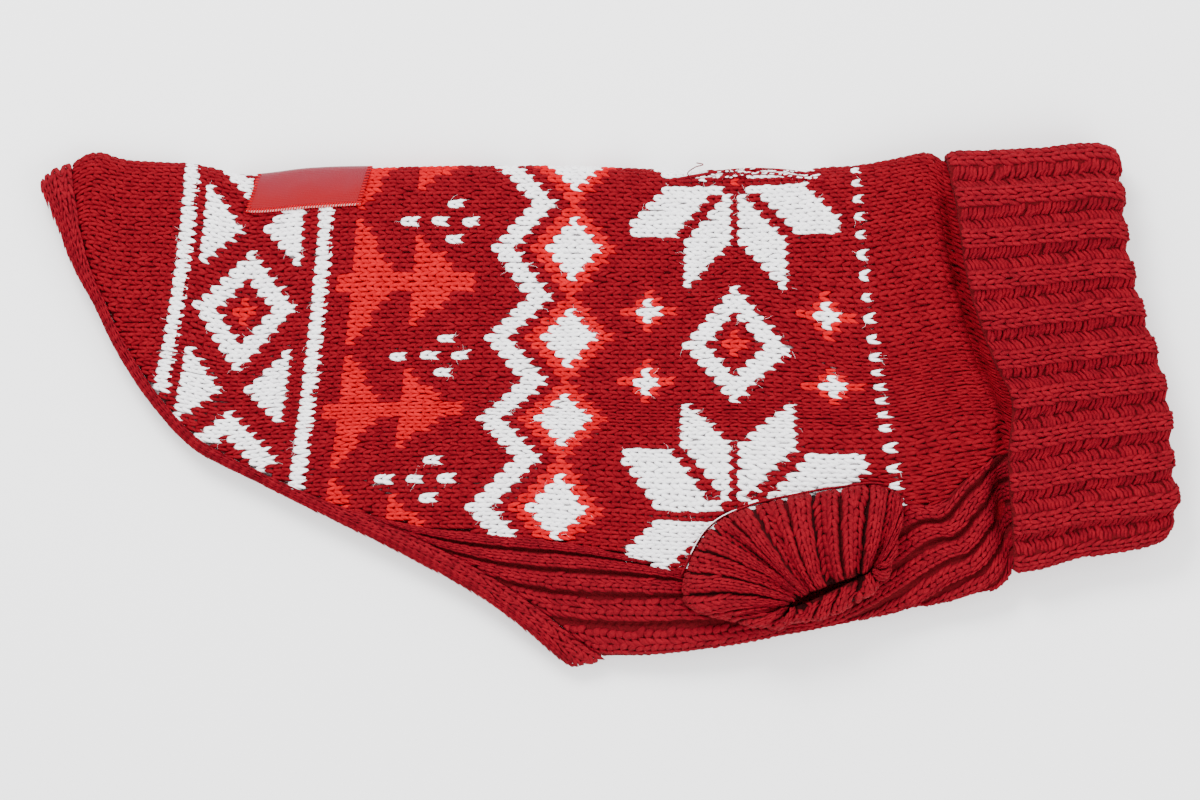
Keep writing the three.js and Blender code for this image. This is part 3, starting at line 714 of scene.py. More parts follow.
def draw_chart():
    for wale in range(CHART_TOP, CHART_TOP + CHART_WALES):
        fill(STRIPES, wale, WHITE)
    for wale in repeats(16, 18):
        framed_diamond(29, wale)
        triangle(23, wale - 9, 1)
        triangle(35, wale - 9, -1)
    for wale in repeats(13, 15):
        fir(wale)
    for wale in repeats(7, 15):
        for course, dw in PLUS:
            fill([course, course + 1], wale + dw, WHITE)
    for wale in repeats(10, 10):
        for dw in range(-5, 5):
            fill(range(61 + abs(dw), 64 + abs(dw)), wale + dw, WHITE)
        diamond(71, wale, 5, BRIGHT)
        diamond(71, wale, 3, WHITE)
    for wale in repeats(21, 38):
        framed_diamond(92, wale)
        star(92, wale - 19)
        for course in (81, 103):
            for dw in (-4, 4):
                fill(range(course - 3, course + 4), wale + dw, BRIGHT)
                diamond(course, wale + dw - 1, 1, BRIGHT)
                diamond(course, wale + dw + 1, 1, BRIGHT)
                diamond(course, wale + dw, 1, WHITE)
    for wale in repeats(1, 2):
        fill([108], wale, WHITE)


draw_chart()


def yarn_at(course, wale):
    column = np.clip(np.round(wale).astype(int) - CHART_TOP, 0, CHART_WALES - 1)
    row = np.clip(np.round(course).astype(int), 0, CHART_COURSES - 1)
    return chart[row, column]


# Materials

class Finish:
    """A material in the making. Its nodes can use the object's and the thread's coordinates."""

    def __init__(self, name):
        self.material = bpy.data.materials.new(name)
        self.material.use_nodes = True
        self.tree = self.material.node_tree
        self.place = self.node("ShaderNodeTexCoord").outputs["Object"]
        thread = self.node("ShaderNodeUVMap")
        thread.uv_map = "thread"
        split = self.node("ShaderNodeSeparateXYZ", {"Vector": thread.outputs["UV"]})
        self.run, self.turn = split.outputs["X"], split.outputs["Y"]

    def put(self, node, values):
        """Set a node's inputs, or link them where the value is another node's output."""
        for name, value in values.items():
            if isinstance(value, bpy.types.NodeSocket):
                self.tree.links.new(value, node.inputs[name])
            else:
                node.inputs[name].default_value = value

    def node(self, kind, values=None):
        node = self.tree.nodes.new(kind)
        self.put(node, values or {})
        return node

    def math(self, operation, *values):
        node = self.node("ShaderNodeMath")
        node.operation = operation
        self.put(node, dict(enumerate(values)))
        return node.outputs["Value"]

    def total(self, *weighed):
        """Sum of outputs, each times its weight."""
        parts = [self.math("MULTIPLY", output, weight) for output, weight in weighed]
        whole = parts[0]
        for part in parts[1:]:
            whole = self.math("ADD", whole, part)
        return whole

    def wave(self, *weighed):
        return self.math("SINE", self.total(*weighed))

    def noise(self, scale, detail):
        values = {"Scale": scale, "Detail": detail, "Vector": self.place}
        return self.node("ShaderNodeTexNoise", values).outputs["Fac"]

    def ramp(self, factor, low, high, at):
        ramp = self.node("ShaderNodeValToRGB", {"Fac": factor})
        for end, place, colour in zip(ramp.color_ramp.elements, at, (low, high)):
            end.position = place
            end.color = (*colour, 1)
        return ramp.outputs["Color"]

    def blend(self, kind, factor, first, second):
        node = self.node("ShaderNodeMix")
        node.data_type = "RGBA"
        node.blend_type = kind
        self.put(node, {"Factor": factor, "A": first, "B": second})
        return node.outputs["Result"]

    def done(self, colour, height, bump, **values):
        """Link colour and bump, and set the shader's other sockets, named with _ for spaces."""
        strength, distance = bump
        node = self.node("ShaderNodeBump", {"Strength": strength, "Distance": distance, "Height": height})
        shader = self.tree.nodes["Principled BSDF"]
        self.put(shader, {"Base Color": colour, "Normal": node.outputs["Normal"]})
        self.put(shader, {name.replace("_", " "): value for name, value in values.items()})
        return self.material


def yarn_material(name, low, high, sheen, gloss):
    """Wool-like yarn: cloudy colour, twisted plies and fine fibres."""
    yarn = Finish(name)
    plies = yarn.wave((yarn.run, 3 * CIRCLE), (yarn.turn, 2 * CIRCLE))
    cloud = yarn.noise(260, 3)
    fibre = yarn.noise(2600, 4)
    tone = yarn.total((cloud, 0.55), (fibre, 0.45), (plies, 0.03))
    height = yarn.total((plies, 0.35), (fibre, 1.0))
    return yarn.done(
        yarn.ramp(tone, low, high, (0.38, 0.62)), height, (0.55, 0.0003), Roughness=0.92,
        Specular_IOR_Level=gloss, Sheen_Weight=sheen, Sheen_Roughness=0.45, Sheen_Tint=(*high, 1),
    )


def cloth_material(name):
    """The cloth between and under the loops: its colour comes from the yarn attribute, which under the near
    loops holds painted shade.
    """
    knit = Finish(name)
    yarn = knit.node("ShaderNodeAttribute")
    yarn.attribute_name = "yarn"
    fibre = knit.noise(1800, 4)
    shade = knit.ramp(fibre, [0.55] * 3, [1.0] * 3, (0.3, 0.7))
    colour = knit.blend("MULTIPLY", 1.0, yarn.outputs["Color"], shade)
    across = knit.math("PINGPONG", knit.turn, 0.5)
    wave = knit.wave((knit.math("SUBTRACT", knit.run, across), CIRCLE))
    height = knit.total((wave, 1.0), (fibre, 0.8))
    return knit.done(colour, height, (0.6, 0.0005), Roughness=0.95, Specular_IOR_Level=0.1)


def satin_material(name):
    """Smooth woven ribbon: fine crosswise ribs, a soft shine, a painted sheen that turns the red greyer and
    pinker towards the spine fold, and a pale lower edge.
    """
    ribbon = Finish(name)
    # Painted sheen: the red is greyer and pinker near the spine fold, deeper towards the near lower edge.
    slope = ribbon.total((ribbon.turn, 1.0), (ribbon.noise(140, 2), 0.3))
    red = ribbon.ramp(slope, (0.14, 0.016, 0.026), (0.19, 0.001, 0.005), (0.10, 0.9))
    edge = ribbon.ramp(ribbon.turn, [0] * 3, [1] * 3, (0.955, 0.975))
    colour = ribbon.blend("MIX", edge, red, (0.75, 0.35, 0.33, 1))
    ribs = ribbon.wave((ribbon.run, 420.0))
    lines = ribbon.wave((ribbon.turn, 150.0))
    height = ribbon.math("ADD", ribs, lines)
    return ribbon.done(
        colour, height, (0.35, 0.00012), Roughness=0.5, Specular_IOR_Level=0.12, Anisotropic=0.5,
    )


DEEP = ((0.108, 0.0013, 0.0046), (0.170, 0.0023, 0.0075))
RIB = ((0.104, 0.0013, 0.0050), (0.180, 0.0024, 0.0084))
VIVID = ((0.33, 0.0, 0.006), (0.48, 0.0, 0.009))
PALE = ((0.80, 0.78, 0.80), (0.95, 0.94, 0.96))

# Colour of the cloth for ground, white and bright: under the near loops it is darkened as painted shade
# between the loops, on the bare far side it is plain
SHADED_NEAR_TONES = np.array([(0.105, 0.0014, 0.0048), (0.52, 0.46, 0.48), (0.27, 0.001, 0.003)])
FAR_TONES = np.array([(0.20, 0.0026, 0.0085), (0.76, 0.74, 0.76), (0.50, 0.0010, 0.0040)])

deep_yarn = yarn_material("deep_red_yarn", *DEEP, sheen=0.06, gloss=0.07)
rib_yarn = yarn_material("rib_red_yarn", *RIB, sheen=0.12, gloss=0.09)
vivid_yarn = yarn_material("bright_red_yarn", *VIVID, sheen=0.0, gloss=0.02)
white_yarn = yarn_material("white_yarn", *PALE, sheen=0.2, gloss=0.15)
cloth = cloth_material("cloth_under_the_loops")
satin = satin_material("red_satin")

# Back panel

LOOP_EDGE_SHARE = 0.95
FOLD_RISE = 0.22
FOLD_RUN = 8
leg_ring = sleeve_outline.at(steps(0, 1, 60)[:-1]) - SLEEVE_MIDDLE
loop_edge = leg_ring * LOOP_EDGE_SHARE + SLEEVE_MIDDLE
leg_hole = leg_ring * HOLE_SHARE + SLEEVE_MIDDLE
back = back_field()
back_patch = patch(
    spine_line.at, side_seam.at,
    lambda t: rear_panel_line.by(t * seam_share),
    lambda t: neck_point(t * SEAM_AT_NECK),
)
back_outline = np.vstack([
    rear_panel_line.by(steps(0, seam_share, 60)),
    side_seam.at(steps(0, 1, 80)) - (0, 1.1),
    neck_point(steps(SEAM_AT_NECK, 0, 20)),
    spine_line.at(steps(1, 0, 80)) + (0, 3),
])

# The stripes are two courses wide, and their second course is pressed close to the first
CLOSE_COURSE = 0.75
CLOSE_LIFT = 0.25
CHEST_COURSE = 62


def back_cells():
    course, wale = cells(np.arange(0, BACK_COURSES), np.arange(-FAR_WALES, NEAR_WALES - 2))
    middle = back.place(course + LOOP_MIDDLE, wale + 0.5, 0)
    keep = inside(back_outline, middle) & ~inside(loop_edge, middle)
    return course[keep], wale[keep]


def add_back_loops():
    course, wale = back_cells()
    stripe = np.isin(course, STRIPES)
    close = np.repeat([0.0, 1.0], [len(course), stripe.sum()])
    course = np.concatenate([course, course[stripe]])
    wale = np.concatenate([wale, wale[stripe]])
    yarn = yarn_at(course, wale)
    tail = course < CHEST_COURSE
    course = course + CLOSE_COURSE * close
    lift = CLOSE_LIFT * close
    return [
        add_piece(name, material, lay(back, LOOP, course[chosen], wale[chosen], lift[chosen]))
        for name, material, chosen in (
            ("back_loops_red_tail", deep_yarn, (yarn == GROUND) & tail),
            ("back_loops_red_chest", deep_yarn, (yarn == GROUND) & ~tail),
            ("back_loops_white", white_yarn, yarn == WHITE),
            ("back_loops_bright", vivid_yarn, yarn == BRIGHT),
        )
    ]


def locate(plan, side):
    """Course and wale of a point of the body, from its plan."""
    x, y = plan[..., 0], plan[..., 1]
    x0 = x
    for _ in range(12):
        off = table_at(spine_fold[0], x0) - y
        x0 = x - table_at(LEAN, x0) * (np.maximum(0, off) / LEAN_AT) ** LEAN_POWER
    over_fold = FOLD_RISE * table_at(LOFT, x0) * smooth(off / FOLD_RUN)
    return (x0 - FIRST_COURSE) / COURSE, side * (np.maximum(0, off) + over_fold) / WALE


def add_sheet(name, node, slot, plan, sides, under):
    """A panel's cloth from one seam over the fold to the other, with its two leg holes."""
    outer = skin(plan, sides, np.where(sides > 0, under, FAR_UNDER))
    inner = skin(plan, sides, KNIT + 0.3 * (under > UNDER + 0.5))
    middle = (plan[1:, 1:] + plan[:-1, :-1]) / 2
    course, wale = locate(plan, sides)
    yarn = yarn_at(course - LOOP_MIDDLE, np.floor(wale)) if slot == "knit" else GROUND
    # Under the near loops the cloth is darker: painted shade between the loops.
    tones = np.where((sides < 0)[..., None], FAR_TONES[yarn], SHADED_NEAR_TONES[yarn])
    form = closed_sheet(outer, inner, np.stack([course, wale], axis=-1), inside(leg_hole, middle))
    return add_piece(name, cloth, form, np.tile(tones.reshape(-1, 3), (2, 1)), node)


def add_back():
    far, near = steps(1, 0, 110)[:-1] ** 1.3, steps(0, 1, 50) ** 1.7
    plan = back_patch(steps(0, 1, 190)[:, None], np.concatenate([far, near])[None])
    sides = np.broadcast_to(np.repeat([-1.0, 1.0], [len(far), len(near)]), plan.shape[:2])
    shell = add_sheet("back_cloth", "back_panel", "knit", plan, sides, np.full(sides.shape, UNDER))
    return shell, add_back_loops()


# Belly panel

RIB_WALES = 2.6
RIB_MIDDLES = (0.83, 1.77)
BELLY_WHOLE = 5 * RIB_WALES
BELLY_RIB = 2.5
BELLY_VALLEY = 1.3
BELLY_CREST = 2.6
BELLY_SLANT = 7
BELLY_SLANT_FROM = 0.45
BELLY_COURSES = 104
BELLY_FAR_WALES = 4
BELLY_WALE = 3.5
BELLY_FAR_REACH = 26
BELLY_FADE = {"sleeve": 0.85, "ramp": 0.2, "last": 1.02, "ends": 0.04}
belly_patch = patch(
    side_seam.at, belly_line.at,
    lambda t: rear_panel_line.by(seam_share + t * (1 - seam_share)),
    lambda t: neck_point(SEAM_AT_NECK + t * (1 - SEAM_AT_NECK)),
)


def belly_plan(u, t):
    plan = belly_patch(u, t)
    plan[..., 1] -= SEAM_GAP * (1 - t)
    return plan


def belly_slant(u):
    """Wales by which the ribs climb towards the neck."""
    return BELLY_SLANT * smooth((u - BELLY_SLANT_FROM) / (1 - BELLY_SLANT_FROM))


def belly_ribs(u, plan, wale):
    """Height of the ribs, which fade towards both ends and under the near sleeve."""
    phase = (wale / RIB_WALES) % 1
    room = FAR_SLEEVE_ROOM["long"], FAR_SLEEVE_ROOM["short"]
    from_sleeve = np.linalg.norm((plan - SLEEVE_MIDDLE) / room, axis=-1)
    beside = smooth((from_sleeve - BELLY_FADE["sleeve"]) / BELLY_FADE["ramp"])
    ends = smooth(np.minimum(u, BELLY_FADE["last"] - u) / BELLY_FADE["ends"])
    crest = 1 - np.abs(2 * phase - 1) ** BELLY_CREST
    return (BELLY_RIB * crest - BELLY_VALLEY) * (beside * ends)


def belly_row(u, wales):
    """Plan and side at wales counted from the near seam, over the fold, to the far side."""
    near_t, far_t = steps(0, 1, 80), 1 - steps(0, 1, 50) ** 1.5
    near_arc = arc_of(skin(belly_plan(u, near_t), 1, 0.0))
    far_arc = arc_of(skin(belly_plan(u, far_t), -1, 0.0))
    near = np.interp(wales / BELLY_WHOLE * near_arc[-1], near_arc, near_t)
    far = np.interp((wales - BELLY_WHOLE) * BELLY_WALE, far_arc, far_t)
    past = wales > BELLY_WHOLE
    return belly_plan(u, np.where(past, far, near)), np.where(past, -1.0, 1.0)


def belly_grid(shares, wales, slanted):
    """Plan, side and height of the ribs on a grid of shares along and wales across."""
    rows = []
    for u in shares:
        slant = belly_slant(u)
        plan, side = belly_row(u, np.maximum(0, wales - slant if slanted else wales))
        raised = belly_ribs(u, plan, wales if slanted else wales + slant) * (side > 0)
        rows.append((plan, side, raised))
    return [np.array(column) for column in zip(*rows)]


def add_belly():
    count = int(BELLY_WHOLE) + BELLY_SLANT + BELLY_FAR_WALES
    plans, sides, raised = belly_grid(steps(0, 1, 220), half_steps(0, count), True)
    field, reached = course_field(skin(plans, sides, -raised), BELLY_COURSES, -1, from_end=True)
    ribs = np.arange(0, count - 2, RIB_WALES)
    middles = np.concatenate([ribs + middle for middle in RIB_MIDDLES])
    course, wale = cells(np.arange(0, BELLY_COURSES - 1), middles)
    course, wale = course + 0.2, wale - 0.5
    middle = field.place(course + LOOP_MIDDLE, wale + 0.5, 0)
    shortest = reached[np.round(wale * 2 + 1).astype(int)]
    seam = side_seam.points[np.argsort(side_seam.points[:, 0])]
    below_seam = middle[:, 1] < table_at(seam, middle[:, 0]) - 0.9
    from_fold = nearest(belly_fold, middle)[0]
    far_in = (middle[:, 2] < NECK_LEVEL / 3) & (from_fold > BELLY_FAR_WALES * BELLY_WALE)
    keep = (course >= BELLY_COURSES - shortest - 0.6) & below_seam & ~far_in
    keep &= ~inside(leg_ring + SLEEVE_MIDDLE, middle)
    loops = add_piece("belly_loops", rib_yarn, lay(field, LOOP, course[keep], wale[keep]))
    over = BELLY_WHOLE + BELLY_FAR_REACH * steps(0, 1, 44)[1:] ** 1.3
    wales = np.concatenate([steps(0, BELLY_WHOLE, 90), over])
    plans, sides, raised = belly_grid(steps(0, 1, 120), wales, False)
    return add_sheet("belly_cloth", "belly_panel", "rib", plans, sides, UNDER - raised), [loops]


# Band round the rear opening

BAND_PROUD = 0.4
BAND_GAP = 0.45
BAND_WALES = 4
BAND_COURSES = 118
BAND_ROLL = {"from": 0.7, "over": 0.5, "drop": 4.8}
BAND_LOOPS = {"lift": 0.1, "scale": 0.7}
BAND_LOOP_SHIFT = 0.45
band_plan = patch(rear_panel_line.by, rear_edge_line.by, tail_end.by, belly_end.by)


def band_section(s, side, lowered):
    """Points of the band's section at share s of the rear line."""
    first = BAND_GAP / max(TINY, math.dist(band_plan(s, 0.0), band_plan(s, 1.0)))
    proud = BAND_PROUD - lowered if side > 0 else 0
    across, depth = np.array([
        (first, -proud), (0.3, -proud), (0.55, -proud), (0.8, 0.1 - proud), (0.95, 0.35), (1, 0.9),
        (1, KNIT - 0.3), (0.6, KNIT), (first, KNIT),
    ]).T
    return skin(band_plan(s, across), side, depth if side > 0 else np.maximum(0.1, depth))


def add_band():
    near = [band_section(s, 1, 1.0) for s in steps(0, 1, 200)]
    far = [band_section(s, -1, 0.0) for s in steps(1, 0, 120)[1:-1]]
    shell = add_tube_cloth("band_cloth", "rear_band", np.array(near + far), FAR_TONES[GROUND])
    spots = half_steps(0, BAND_WALES + 1) / BAND_WALES
    rolled = smooth((spots - BAND_ROLL["from"]) / BAND_ROLL["over"])
    depth = rolled - BAND_PROUD + BAND_ROLL["drop"] * np.maximum(0, spots - 1)
    rows = [skin(band_plan(s, np.minimum(1, spots)), 1, depth) for s in steps(0, 1, 400)]
    field, reached = course_field(np.array(rows), BAND_COURSES, 1)
    course, wale = cells(np.arange(0, BAND_COURSES - 2), np.arange(0, BAND_WALES))
    keep = course + 1 < reached[wale.astype(int) * 2 + 1]
    laid = lay(field, LOOP, course[keep] + BAND_LOOP_SHIFT, wale[keep], **BAND_LOOPS)
    return shell, [add_piece("band_loops", rib_yarn, laid)]


# Collar: two knit wales to a rib, between two halves of purl

COLLAR_PERIOD = 4
COLLAR_WHOLE = 11 * COLLAR_PERIOD
COLLAR_RIB = 2.3
COLLAR_VALLEY = 1.15
COLLAR_BASE = NECK_AT + 2.2 / COLLAR_WIDTH
COLLAR_COURSE = 2.85
COLLAR_COURSES = 23
COLLAR_SIDE_WALES = 4
COLLAR_BEND = (TUCK + KNIT) / 2
COLLAR_TURN = 1 - COLLAR_BEND / COLLAR_WIDTH
KNIT_ZONE = (0.265, 0.735)
COLLAR_FLANK = {"from": 0.15, "wide": 0.16, "crown": 0.15}
COLLAR_FAR_SHARE = 0.3
COLLAR_SHADE = {"far": 0.9, "near": 0.495}
COLLAR_CROWDED = 0.85
PURL_SLANT = 0.55
PURL_LOOPS = {"lift": 0.1, "scale": 0.85, "loose": 1.6}
COLLAR_LOOP_SCALE = 1.05


def collar_phase(wale):
    """Share of a rib's period at a wale."""
    return np.interp(wale % COLLAR_PERIOD, [0, 1, 3, COLLAR_PERIOD], [0, *KNIT_ZONE, 1])


def collar_rise(phase):
    inward = 0.5 - np.abs(phase - 0.5)
    flank = smooth((inward - COLLAR_FLANK["from"]) / COLLAR_FLANK["wide"])
    return COLLAR_RIB * (flank + COLLAR_FLANK["crown"] * np.sin(math.pi * phase)) - COLLAR_VALLEY


def collar_outer(reach, across, side, raised, under):
    """A point of the flap and of its fold: reach in mm from the free edge."""
    angle = np.clip((reach - COLLAR_TURN * COLLAR_WIDTH) / COLLAR_BEND, 0, math.pi)
    ribbed = np.maximum(0, np.cos(angle / 2))
    along = np.minimum(reach / COLLAR_WIDTH, COLLAR_TURN)
    stands = raised - under
    along = along + (COLLAR_BEND * np.sin(angle) + stands * np.sin(angle) * ribbed) / COLLAR_WIDTH
    end = np.maximum(0, 1 - reach / FLAP)
    rolled = FLAP / 2 * (1 - np.sqrt(1 - end ** 2))
    bent = COLLAR_BEND * (1 - np.cos(angle))
    depth = bent - stands * np.maximum(0, np.cos(angle)) * ribbed + rolled
    return collar_skin(along, across, side, depth)


def collar_arc(across, side):
    return arc_of(collar_skin(0.5, across, side, 0.0))


collar_near_share = steps(0, 1, 400)
collar_near_arc = collar_arc(collar_near_share, 1)
collar_far_share = steps(0, 1, 200) ** 1.5 * COLLAR_FAR_SHARE
collar_wale = collar_near_arc[-1] / COLLAR_WHOLE


def collar_across(wale):
    """Share across and side at a wale; wales past either fold lie on the far side."""
    place = (np.floor(wale / COLLAR_PERIOD) + collar_phase(wale)) * COLLAR_PERIOD
    across = np.interp(place * collar_wale, collar_near_arc, collar_near_share)
    side = np.ones(wale.shape)
    for past, share in (-wale, collar_far_share), (wale - COLLAR_WHOLE, 1 - collar_far_share):
        far = np.interp(np.maximum(0, past) * collar_wale, collar_arc(share, -1), share)
        across = np.where(past > 0, far, across)
        side = np.where(past > 0, -1.0, side)
    return across, side


def collar_field():
    wale = half_steps(-COLLAR_SIDE_WALES, COLLAR_WHOLE + COLLAR_SIDE_WALES)
    across, side = collar_across(wale)
    reach = half_steps(0, COLLAR_COURSES) * COLLAR_COURSE
    raised = collar_rise(collar_phase(wale)) * (side > 0)
    grid = collar_outer(reach[:, None], across[None], side[None], raised[None], 0.0)
    return Field(grid, -1, wale[0])


def collar_ring(across, side, raised):
    """One closed section of the collar's cloth, from the free edge over the fold to the neck."""
    turn_at = COLLAR_TURN * COLLAR_WIDTH
    reach = np.concatenate([
        steps(0, FLAP, 5), steps(FLAP, turn_at, 12)[1:], turn_at + COLLAR_BEND * steps(0, math.pi, 10)[1:],
    ])
    outer = collar_outer(reach, across, side, raised, UNDER if side > 0 else 0.2)
    halfway = (COLLAR_BASE + COLLAR_TURN) / 2
    along, depth = np.array([
        (halfway, TUCK + KNIT), (COLLAR_BASE, TUCK + KNIT), (COLLAR_BASE, TUCK),
        (halfway, TUCK), (COLLAR_TURN, TUCK),
        (COLLAR_TURN + (TUCK - FLAP) / 2 / COLLAR_WIDTH, (TUCK + FLAP) / 2),
        (COLLAR_TURN, FLAP), (COLLAR_TURN / 2, FLAP), (0.0, FLAP),
    ]).T
    return np.concatenate([outer, collar_skin(along, across, side, depth)])


def add_collar():
    wales = np.arange(0, COLLAR_WHOLE + 0.01, 0.25)
    shares = collar_across(wales)[0]
    rings = [collar_ring(share, 1, rise) for share, rise in zip(shares, collar_rise(collar_phase(wales)))]
    far = steps(0, 1, 100)
    far = far - COLLAR_CROWDED * np.sin(CIRCLE * far) / CIRCLE
    rings = np.array(rings + [collar_ring(share, -1, 0.0) for share in far[-2:0:-1]])
    shade = np.where(np.arange(len(rings)) < len(wales), COLLAR_SHADE["near"], COLLAR_SHADE["far"])
    tones = FAR_TONES[GROUND] * np.repeat(shade, rings.shape[1])[:, None]
    shell = add_tube_cloth("collar_cloth", "collar", rings, tones)
    field = collar_field()
    course, wale = cells(
        np.arange(0, COLLAR_COURSES - 1), np.arange(-COLLAR_SIDE_WALES, COLLAR_WHOLE + COLLAR_SIDE_WALES),
    )
    knit = np.isin(wale % COLLAR_PERIOD, (1, 2))
    plain = lay(field, LOOP, course[knit], wale[knit], scale=COLLAR_LOOP_SCALE)
    purl_course = np.concatenate([course[~knit], course[~knit] + 0.5])
    purl_wale = np.tile(wale[~knit], 2)
    slant = np.where(purl_wale % COLLAR_PERIOD < 1, PURL_SLANT, -PURL_SLANT)
    purl = lay(field, BUMP, purl_course, purl_wale, slant=slant, **PURL_LOOPS)
    return shell, [
        add_piece("collar_loops", rib_yarn, plain),
        add_piece("collar_purl_loops", rib_yarn, purl),
    ]


# Near sleeve: a short ribbed tube, pushed down into a low ring with its cuff on top

SLEEVE_RIBS = 22
SLEEVE_RIB = 2.1
SLEEVE_VALLEY = 0.6
SLEEVE_PERIOD = 2.3
SLEEVE_PAIR = (0.67, 1.63)
SLEEVE_WALES = SLEEVE_PERIOD * SLEEVE_RIBS
MOUTH = {"short": 1.1, "narrowing": 0.8, "high": 26.4, "low": 25.6}
SLEEVE_COURSES = 22
SLEEVE_STEP = 0.004
SLEEVE_SWAY = 0.045
SLEEVE_SWELL = 0.2
SLEEVE_CREST = 0.6
SLEEVE_CLEAR = 0.2
SLEEVE_SHADE = {"base": 0.35, "slope": 0.35, "least": 0.2}
SLEEVE_FOLDS = [
    # turn, depth, width
    (0.07, 3.0, 0.012),
    (0.15, 4.0, 0.012),
    (0.19, -0.8, 0.018),
    (0.245, 3.6, 0.011),
    (0.285, -1.4, 0.020),
    (0.33, 3.4, 0.011),
    (0.37, -0.7, 0.015),
    (0.40, 2.2, 0.010),
    (0.47, 3.6, 0.013),
    (0.93, 3.6, 0.013),
    (0.86, 2.0, 0.011),
    (0.80, 3.2, 0.012),
    (0.68, 2.4, 0.014),
]


def sleeve_surface(turn, rise):
    base = sleeve_outline.at(turn % 1)
    bx, by = base[..., 0], base[..., 1]
    away = np.arctan2(by - CUFF["y"], bx - CUFF["x"]) - CUFF["tilt"]
    short = MOUTH["short"] * (1 - MOUTH["narrowing"] * np.cos(away)) * np.sin(away)
    long = CUFF["long"] * np.cos(away)
    cuff_x = CUFF["x"] + long * cuff_way[0] - short * cuff_way[1]
    cuff_y = CUFF["y"] + long * cuff_way[1] + short * cuff_way[0]
    inward = rise - SLEEVE_BULGE * np.sin(math.pi * np.minimum(1, rise / SLEEVE_RISE))
    foot = on_skin(base, SEAM_GAP)[..., 2]
    top = mix(MOUTH["low"], MOUTH["high"], (1 + np.sin(away)) / 2)
    lip = SLEEVE_LIP * smooth((rise - SLEEVE_RISE) / (1 - SLEEVE_RISE))
    height = mix(foot, top, rounded(np.minimum(1, rise / SLEEVE_RISE))) - lip
    return np.stack([mix(bx, cuff_x, inward), mix(by, cuff_y, inward), height], axis=-1)


def sleeve_turn(wale, rise):
    """Share round the sleeve of a wale: ribs are uneven in width and sway towards the cuff."""
    turn = wale / SLEEVE_WALES
    uneven = 0.009 * np.sin(3 * CIRCLE * turn + 0.8) + 0.004 * np.sin(7 * CIRCLE * turn + 2)
    return turn + uneven + SLEEVE_SWAY * smooth(rise) * np.sin(2 * CIRCLE * turn + 1)


def sleeve_relief(wale):
    turn = wale / SLEEVE_WALES
    swell = 1 + SLEEVE_SWELL * np.sin(5 * CIRCLE * turn + 1)
    ribs = np.abs(np.sin(math.pi * wale / SLEEVE_PERIOD))
    height = SLEEVE_RIB * swell * ribs ** SLEEVE_CREST - SLEEVE_VALLEY
    for at, depth, width in SLEEVE_FOLDS:
        height = height - depth * bell(turn - at, width)
    return height


def sleeve_point(turn, rise, depth):
    """A point of the sleeve, depth below its outer surface, and never under the body's skin."""
    round_way = sleeve_surface(turn + SLEEVE_STEP, rise) - sleeve_surface(turn - SLEEVE_STEP, rise)
    above, below = np.minimum(1, rise + SLEEVE_STEP), np.maximum(0, rise - SLEEVE_STEP)
    normal = np.cross(round_way, sleeve_surface(turn, above) - sleeve_surface(turn, below))
    normal = unit(normal) * np.sign(normal[..., 2:])
    point = sleeve_surface(turn, rise) - normal * np.asarray(depth)[..., None]
    floor = on_skin(point, SEAM_GAP)[..., 2]
    within = nearest(belly_fold, point)[0] > 1
    point[..., 2] = np.where(within, np.maximum(point[..., 2], floor), point[..., 2])
    return point


def sleeve_grid(wales, rises, under, ribbed=True):
    """Points of the sleeve at wales round it and rises up to the cuff."""
    wale, rise = np.meshgrid(wales, rises, indexing="ij")
    raised = sleeve_relief(wale) * smooth(rise / SLEEVE_CLEAR) if ribbed else 0
    return sleeve_point(sleeve_turn(wale, rise), rise, under - raised)


def add_sleeve():
    around = np.arange(0, SLEEVE_WALES, 0.2)
    outer = sleeve_grid(around, steps(0, 1, 26), UNDER)
    rings = np.concatenate([outer, sleeve_grid(around, steps(1, 0, 12), KNIT, ribbed=False)], axis=1)
    raised = sleeve_relief(np.repeat(around, rings.shape[1]))
    shade = np.clip(SLEEVE_SHADE["base"] + SLEEVE_SHADE["slope"] * raised, SLEEVE_SHADE["least"], 1)
    shell = add_tube_cloth("sleeve_cloth", "sleeve_near", rings, SHADED_NEAR_TONES[GROUND] * shade[:, None])
    dense = sleeve_grid(half_steps(0, SLEEVE_WALES + 1), steps(0, 1, 60), 0.0)
    field, reached = course_field(dense.transpose(1, 0, 2), SLEEVE_COURSES, 1)
    ribs = np.arange(SLEEVE_RIBS) * SLEEVE_PERIOD
    middles = np.concatenate([ribs + place for place in SLEEVE_PAIR])
    course, wale = cells(np.arange(0, SLEEVE_COURSES - 1), middles)
    kept = course + 1.0 < reached[np.round(wale * 2).astype(int)]
    laid = lay(field, LOOP, course[kept], wale[kept] - 0.5)
    return shell, [add_piece("sleeve_loops", rib_yarn, laid)]


# Far sleeve: the same tube, pressed flat between the far side and the floor

FAR_CUFF = {"x": 50, "y": -54, "share": 0.26}
FAR_SLEEVE_THICK = 2.4
FAR_SLEEVE_EDGE = 0.9
FAR_RIBS = {"floor": 0.05, "under": 0.22, "top": 0.1}
FAR_SLEEVE_SECTION = [
    # share of the outline, height
    (FAR_SLEEVE_EDGE, 0.0),
    (0.915, 0.6),
    (0.92, 1.2),
    (0.915, 1.8),
    (FAR_SLEEVE_EDGE, FAR_SLEEVE_THICK),
    *((share, FAR_SLEEVE_THICK) for share in steps(0.82, 0.3, 10)),
    (FAR_CUFF["share"], FAR_SLEEVE_THICK),
    (FAR_CUFF["share"] - 0.02, 1.2),
    (FAR_CUFF["share"], 0.0),
    *((share, 0.0) for share in steps(0.3, 0.82, 10)),
]
FAR_SLEEVE_POINTS = 360


